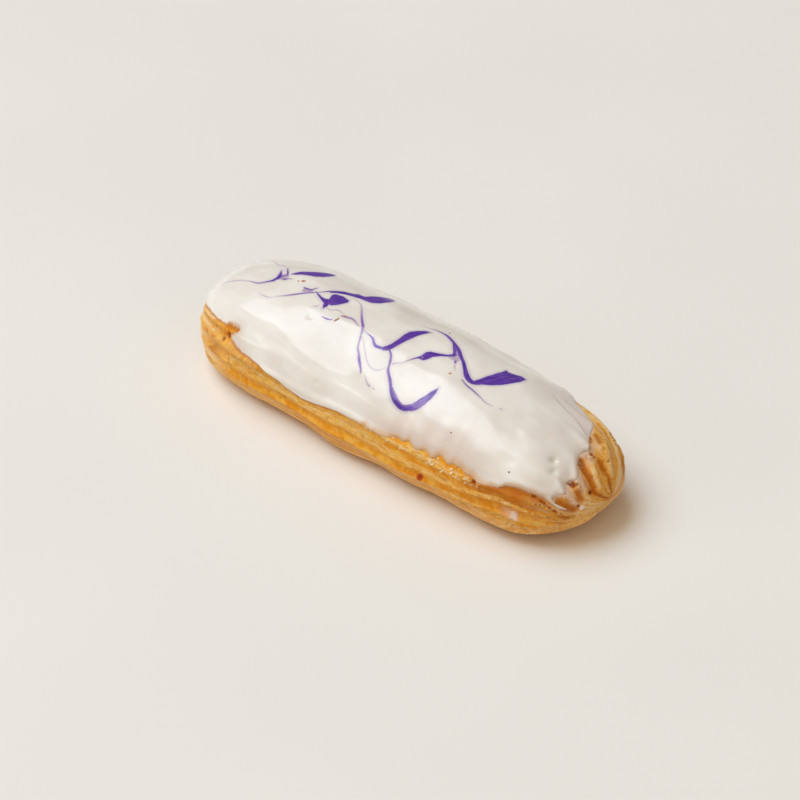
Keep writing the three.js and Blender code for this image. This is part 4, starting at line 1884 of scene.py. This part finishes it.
@dataclass
class IcingCap:
    """The icing: a closed skin that clings to the ribs at its edge and levels them further in.

    Sizes are in millimetres, but for those of the ball that the skin is cut from.
    """

    loaf: Loaf
    ribs: Ribs
    edge: IcingEdge
    marbling: Marbling
    around: int = 128
    along: int = 138
    inner_radius: float = 0.9
    # How thick the icing is in the middle, and how far from the edge that is reached.
    crown: float = 1.64
    crown_reach: float = 11.0
    # How thick the lip is on the near side and elsewhere, and how broad its round is.
    lip: float = 0.45
    far_lip: float = 1.05
    lip_reach: float = 1.5
    far_side: Span = Span(-9.0, 3.0)
    blunt_end: Span = Span(-52.0, -64.0)
    before_tip: Span = Span(52.0, 40.0)
    # How much thicker it is at the sloping tip, and how it feathers out past some turns there.
    tip_lip: float = 0.5
    tip_start: Span = Span(0.6, 0.75)
    feather: Span = Span(78.0, 92.0)
    feather_reach: float = 1.6
    feather_loss: float = 0.6
    feather_tip_loss: float = 0.8
    # The lip on the far side of the sloping tip, past which a film is left: stops of along and turn.
    lip_line: Line = (
        (44.0, 62.0), (49.5, 64.5), (55.7, 66.5), (61.4, 71.5), (64.0, 75.0),
    )
    blend: float = 1.6
    skirt_start: Span = Span(43.0, 50.0)
    film: float = 0.3
    # The least thickness, and how softly it is reached.
    thinnest: float = 0.2
    easing: float = 0.4
    # How deep the skin dives into the crust past its edge, where it ends, and how deep it is bedded.
    dive: float = 1.0
    dive_reach: float = 0.9
    rim: float = -1.6
    bed: float = 0.35
    # How much of the ribs still shows, and where they are levelled, by the height above the edge.
    ribs_through: float = 0.06
    level: Span = Span(0.0, 5.0)
    # Where the mesh is refined: at the edge, at the end of the skirt, and at the purple's edge.
    fine_lip: Pair = (-0.9, 1.5)
    fine_skirt: Pair = (0.01, 0.99)
    fine_purple: Pair = (-0.55, 0.8)
    waves: Waves = Waves()
    blush: Blush = Blush()
    sheer: Sheer = Sheer()
    holes: tuple[Hole, ...] = (
        # Burst bubbles.
        Hole(-28.6, 113.0, 0.7, 0.45), Hole(59.9, 114.0, 0.9, 0.8), Hole(61.7, 124.0, 0.8, 0.65),
        Hole(-15.0, 152.0, 0.7, 0.3), Hole(12.0, 40.0, 0.6, 0.3),
        # Wide, shallow hollows that break up the reflections.
        Hole(-14.5, 110.0, 2.6, 0.3), Hole(-12.0, 119.0, 2.4, 0.3), Hole(-9.0, 130.0, 2.6, 0.2),
        Hole(3.5, 112.0, 3.0, 0.35), Hole(9.5, 121.0, 3.4, 0.35), Hole(26.0, 106.0, 6.5, 0.6),
        Hole(26.5, 141.0, 4.5, 0.15), Hole(36.0, 136.5, 4.5, 0.15), Hole(10.5, 147.0, 4.0, 0.4),
        Hole(17.0, 146.0, 4.0, 0.4), Hole(-40.0, 147.0, 3.0, 0.25),
        # A wide, low swelling that does the same.
        Hole(41.0, 124.0, 6.0, -0.3),
    )

    def build(self, finish: IcingFinish) -> bpy.types.Object:
        """Makes the icing and dresses it.

        Args:
            finish: Its surface.

        Returns:
            The object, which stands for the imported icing.
        """
        made = piece(self.skin(), "icing_cap", finish.make())
        unit = coordinates(made.data.vertices)
        places = self.loaf.places(unit, Crowding.TOP)
        outer, inner, inside = self.reliefs(places)
        relief = np.where(self.on_top(unit), outer, inner)
        place_vertices(made, places.bare + places.out * relief[:, None])
        tints = {
            "sheer": self.sheer.share(places, inside),
            "blush": self.blush.share(places, inside),
            "skirt": self.skirt(places),
        }
        hold(made, {"flow": places.flow} | tints | self.marbling.draw(places))
        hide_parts("icing")
        return made

    def skin(self) -> bmesh.types.BMesh:
        """Cuts the iced part out of a ball, gives it a wall and refines where the surface needs it.

        Returns:
            The skin, still on the ball: its outer side has radius 1 and its inner side is smaller.
        """
        mesh = ball(self.around, self.along)
        inside = self.inside(self.loaf.places(coordinates(mesh.verts), Crowding.TOP))
        mesh.verts.ensure_lookup_table()
        spare = [face for face in mesh.faces if all(inside[vert.index] < self.rim for vert in face.verts)]
        bmesh.ops.delete(mesh, geom=spare, context="FACES")
        bmesh.ops.solidify(mesh, geom=mesh.faces[:], thickness=1.0 - self.inner_radius)
        self.refine(mesh, self.everywhere, 1)
        self.refine(mesh, self.near_lip, 1)
        self.refine(mesh, self.near_purple, 2)
        uneven = [face for face in mesh.faces if len(face.verts) > 4]
        bmesh.ops.triangulate(mesh, faces=uneven)
        bmesh.ops.recalc_face_normals(mesh, faces=mesh.faces[:])
        return mesh

    def refine(self, mesh: bmesh.types.BMesh, wanted: Callable[[Places], Array], cuts: int) -> None:
        """Cuts up the edges of the outer side where the surface needs more of them.

        Args:
            mesh: The skin, still on the ball.
            wanted: Says for places whether they need it.
            cuts: Into how many more parts an edge is cut.
        """
        mesh.verts.index_update()
        points = coordinates(mesh.verts)
        chosen = self.on_top(points) & wanted(self.loaf.places(points, Crowding.TOP))
        edges = [edge for edge in mesh.edges if all(chosen[vert.index] for vert in edge.verts)]
        bmesh.ops.subdivide_edges(mesh, edges=edges, cuts=cuts, use_grid_fill=True)

    def on_top(self, points: Array) -> Array:
        """Whether points on the ball belong to the outer side of the skin."""
        return np.linalg.norm(points, axis=1) > (1.0 + self.inner_radius) / 2.0

    @staticmethod
    def everywhere(places: Places) -> Array:
        """All places alike."""
        return np.ones(len(places.turn), bool)

    def height(self, places: Places) -> Array:
        """How far the icing's outer side stands off the bare finger, in millimetres."""
        return self.reliefs(places)[0]

    def near_lip(self, places: Places) -> Array:
        """Whether places lie on the rounded lip."""
        return within(self.inside(places), self.fine_lip) | within(self.skirt(places), self.fine_skirt)

    def near_purple(self, places: Places) -> Array:
        """Whether places lie close to a line of purple's edge."""
        return within(self.marbling.draw(places)["ink_edge"], self.fine_purple)

    def inside(self, places: Places) -> Array:
        """Height above the icing's edge, in millimetres."""
        return self.edge.inside(places, self.ribs.crest(places))

    def reliefs(self, places: Places) -> tuple[Array, Array, Array]:
        """Works out how far the two sides of the skin stand off the bare finger.

        Args:
            places: The vertices' places.

        Returns:
            The outer relief, the inner relief and the height above the icing's edge, in millimetres.
        """
        crest = self.ribs.crest(places)
        inside = self.edge.inside(places, crest)
        coarse = self.edge.coarse(places)
        crust = self.ribs.rise(places, crest)

        feather = self.loaf.sloping_tip(places.along) * self.feather(places.degrees)
        reach = self.lip_reach * (1.0 + self.feather_reach * feather)
        rounded = np.sqrt(1.0 - (1.0 - np.clip(inside / reach, 0.0, 1.0)) ** 2)
        base = self.base(places) * (1.0 - self.feather_loss * feather)
        tip = self.tip_lip * self.tip_start(places.along) * (1.0 - self.feather_tip_loss * feather)
        full = smooth(coarse, 0.0, self.crown_reach)
        levelled = (crust - self.ribs.oven(places)) * (1.0 - self.ribs_through) * self.level(coarse)
        dent, _ = dents(places, self.loaf, self.holes)
        thick = base * rounded + tip * rounded + (self.crown - base) * full * rounded
        thick += self.waves.rise(places, coarse) - levelled - dent
        over = thick - self.thinnest * rounded
        thick += (np.hypot(over, self.easing * rounded) - over) / 2.0
        thick += (self.film * rounded - thick) * self.skirt(places)
        thick -= self.dive * np.clip(-inside / self.dive_reach, 0.0, 1.0)
        outer = crust + thick
        return outer, np.minimum(crust, outer) - self.bed, inside

    def base(self, places: Places) -> Array:
        """How thick the lip is, in millimetres, before it feathers out."""
        away = np.maximum(self.far_side(places.y), self.blunt_end(places.x)) * self.before_tip(places.x)
        return self.lip + (self.far_lip - self.lip) * away

    def skirt(self, places: Places) -> Array:
        """Whether places lie past the lip at the sloping tip, where only a film of icing is left."""
        lip = np.interp(places.x, *np.array(self.lip_line).T)
        return smooth(places.from_below, lip + self.blend, lip - self.blend) * self.skirt_start(places.x)


@dataclass(frozen=True)
class Morsel:
    """A small lump that lies on the finger: along in mm, turn in degrees, and three half sizes in mm."""

    along: float
    turn: float
    size: Triple
    twist: float = 0.0


@dataclass
class Morsels:
    """Small lumps of one kind on the crust or the icing, joined to one mesh."""

    name: str
    slot: str
    lumps: tuple[Morsel, ...]
    loaf: Loaf
    lift: Callable[[Places], Array]
    sunk: float = 0.3
    unevenness: float = 0.28
    lumpiness: float = 1.4
    subdivisions: int = 2

    def build(self, material: bpy.types.Material) -> bpy.types.Object:
        """Makes the lumps where they lie and dresses them.

        Args:
            material: Their finish.

        Returns:
            The object.
        """
        mesh = bmesh.new()
        grain = Grain(Seed.LUMP)
        along = np.array([2.0 * lump.along / self.loaf.length for lump in self.lumps])
        places = self.loaf.at(along, np.radians([lump.turn for lump in self.lumps]))
        heights = self.lift(places)
        for lump, point, way, height in zip(self.lumps, places.bare, places.out, heights):
            out = Vector(way)
            ahead = (Vector((1.0, 0.0, 0.0)) - out * out.x).normalized()
            axes = Matrix((ahead, out.cross(ahead), out)).transposed()
            turned = axes @ Matrix.Rotation(radians(lump.twist), 3, "Z")
            middle = Vector(point) + out * (height - self.sunk * lump.size[2])
            made = bmesh.ops.create_icosphere(mesh, subdivisions=self.subdivisions, radius=1.0)["verts"]
            swell = 1.0 + self.unevenness * grain(coordinates(made) * self.lumpiness + lump.along)
            for vert, share in zip(made, swell):
                scaled = Vector(side * size for side, size in zip(vert.co, lump.size)) * float(share)
                vert.co = (middle + turned @ scaled) * METRES
        made = piece(mesh, self.name, material)
        return made


@dataclass(frozen=True)
class Sprinkle:
    """Where loose grains lie along a crest: a stretch in mm, a turn in degrees, and how they scatter."""

    start: float = 4.0
    stop: float = 47.0
    turn: float = 165.0
    spread: float = 2.2
    count: int = 150
    smallest: float = 0.18
    largest: float = 0.62
    # The least and the greatest half sizes of a grain, as shares of its size, and how much it is twisted.
    slimmest: Triple = (0.8, 0.4, 0.3)
    stoutest: Triple = (1.9, 0.8, 0.7)
    twist: float = 35.0

    def lumps(self) -> tuple[Morsel, ...]:
        """Draws the grains, the same each time.

        Returns:
            The grains as small lumps.
        """
        draw = np.random.default_rng(Seed.SPRINKLE)
        made = []
        for _ in range(self.count):
            cluster = self.start + (self.stop - self.start) * draw.uniform()
            size = self.smallest + (self.largest - self.smallest) * draw.uniform() ** 2
            shape = tuple(size * draw.uniform(self.slimmest, self.stoutest))
            turn = self.turn + self.spread * draw.normal()
            made.append(Morsel(cluster, turn, shape, self.twist * draw.normal()))
        return tuple(made)


@dataclass(frozen=True)
class SoftBox:
    """A rounded light that faces the finger, placed by angles in degrees, with sizes in metres."""

    name: str
    azimuth: float
    elevation: float
    metres: float
    size: Pair
    watts: float
    colour: Colour = (1.0, 1.0, 1.0)


@dataclass(frozen=True)
class Studio:
    """The floor, the soft light and the camera."""

    target: Triple = (-8.87, 7.495, -0.4)
    azimuth: float = 40.47
    elevation: float = 39.07
    distance: float = 628.6
    lens: float = 92.925
    sensor: float = 36.0
    floor_size: float = 6.0
    floor_cells: int = 8
    boxes: tuple[SoftBox, ...] = (
        SoftBox("window", -70.0, 61.0, 5.0, (5.9, 4.0), 217.0, (0.76, 0.87, 1.0)),
        SoftBox("sky", 15.0, 68.0, 5.0, (5.0, 5.0), 48.0, (1.0, 0.93, 0.68)),
        SoftBox("strip", -31.0, 20.0, 5.0, (5.4, 3.2), 26.0),
        SoftBox("pane", -38.0, 20.0, 5.0, (2.0, 0.8), 8.0),
        SoftBox("fill", 78.0, 38.0, 5.0, (4.4, 3.4), 16.0, (1.0, 0.95, 0.9)),
    )
    surroundings: Colour = (1.0, 0.74, 0.52)
    glow: float = 0.226

    def build(self) -> None:
        """Makes the floor, the lights, the surroundings and the camera."""
        self.floor()
        self.lights()
        self.camera()
        bpy.context.scene.view_settings.view_transform = "Standard"

    def back(self, azimuth: float, elevation: float) -> Vector:
        """The way from the finger towards a viewer or a light, at angles in degrees."""
        a, e = radians(azimuth), radians(elevation)
        return Vector((sin(a) * cos(e), -cos(a) * cos(e), sin(e)))

    def floor(self) -> None:
        """Lays the floor."""
        mesh = bmesh.new()
        cells = {"x_segments": self.floor_cells, "y_segments": self.floor_cells}
        bmesh.ops.create_grid(mesh, size=self.floor_size / 2.0, **cells)
        data = bpy.data.meshes.new("floor")
        mesh.to_mesh(data)
        mesh.free()
        data.materials.append(FloorFinish().make())
        made = bpy.data.objects.new("floor", data)
        bpy.context.scene.collection.objects.link(made)

    def light(self, box: SoftBox) -> None:
        """Hangs a soft box that faces the finger.

        Args:
            box: The soft box.
        """
        lamp = bpy.data.lights.new(box.name, "AREA")
        lamp.shape = "ELLIPSE"
        lamp.size, lamp.size_y = box.size
        lamp.energy = box.watts
        lamp.color = box.colour
        made = bpy.data.objects.new(box.name, lamp)
        back = self.back(box.azimuth, box.elevation)
        made.location = back * box.metres
        made.rotation_mode = "QUATERNION"
        made.rotation_quaternion = back.to_track_quat("Z", "Y")
        bpy.context.scene.collection.objects.link(made)

    def lights(self) -> None:
        """Hangs the soft boxes and lights the surroundings."""
        for box in self.boxes:
            self.light(box)
        world = bpy.data.worlds.new("surroundings")
        world.use_nodes = True
        background = world.node_tree.nodes["Background"]
        background.inputs["Color"].default_value = (*self.surroundings, 1.0)
        background.inputs["Strength"].default_value = self.glow
        bpy.context.scene.world = world

    def camera(self) -> None:
        """Sets up the camera."""
        data = bpy.data.cameras.new("camera")
        data.lens = self.lens
        data.sensor_width = self.sensor
        made = bpy.data.objects.new("camera", data)
        back = self.back(self.azimuth, self.elevation)
        made.location = (Vector(self.target) + back * self.distance) * METRES
        made.rotation_mode = "QUATERNION"
        made.rotation_quaternion = back.to_track_quat("Z", "Y")
        bpy.context.scene.collection.objects.link(made)
        bpy.context.scene.camera = made


CRUMBS = (
    Morsel(-41.8, 85.0, (0.75, 0.55, 0.25), 30.0),
    Morsel(-43.1, 87.0, (0.4, 0.35, 0.18)),
    Morsel(-21.2, 105.0, (1.2, 0.4, 0.22), 75.0),
    Morsel(-20.3, 99.3, (0.55, 0.45, 0.22)),
    Morsel(19.9, 100.0, (0.5, 0.4, 0.2), 20.0),
)
SPECKS = (
    Morsel(32.1, 136.0, (0.26, 0.24, 0.1)),
    Morsel(52.2, 141.0, (0.36, 0.32, 0.12)),
    Morsel(7.0, 64.0, (0.36, 0.3, 0.12)),
)
DABS = (Morsel(71.2, 165.0, (0.9, 0.7, 0.25), 40.0),)


def main() -> None:
    """Builds the eclair and the studio round it."""
    logging.basicConfig(level=logging.INFO, format="%(name)s: %(message)s")
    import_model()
    loaf, ribs = Loaf(), Ribs()
    edge = IcingEdge(loaf)
    finger = ChouxFinger(loaf, ribs, edge)
    finger.build(CrustFinish())
    cap = IcingCap(loaf, ribs, edge, Marbling())
    cap.build(IcingFinish())
    grain = CrumbFinish("sugar_grain", seen(232, 180, 106), seen(252, 228, 188), 0.2)
    crumb = CrumbFinish("toasted_crumb", seen(176, 104, 66), seen(214, 156, 112), 0.5)
    speck = CrumbFinish("dark_speck", seen(96, 78, 84), seen(140, 118, 116), 0.5)
    dab = CrumbFinish("icing_dab", seen(228, 206, 190), seen(242, 230, 220), 0.25)
    grains = Morsels("sugar_grains", "icing", Sprinkle().lumps(), loaf, finger.height, 0.2, subdivisions=1)
    grains.build(grain.make())
    Morsels("crust_crumbs", "choux", CRUMBS, loaf, cap.height).build(crumb.make())
    Morsels("dark_specks", "choux", SPECKS, loaf, cap.height).build(speck.make())
    Morsels("icing_dabs", "icing", DABS, loaf, finger.height, 0.2, subdivisions=3).build(dab.make())
    Studio().build()


if __name__ == "__main__":
    main()
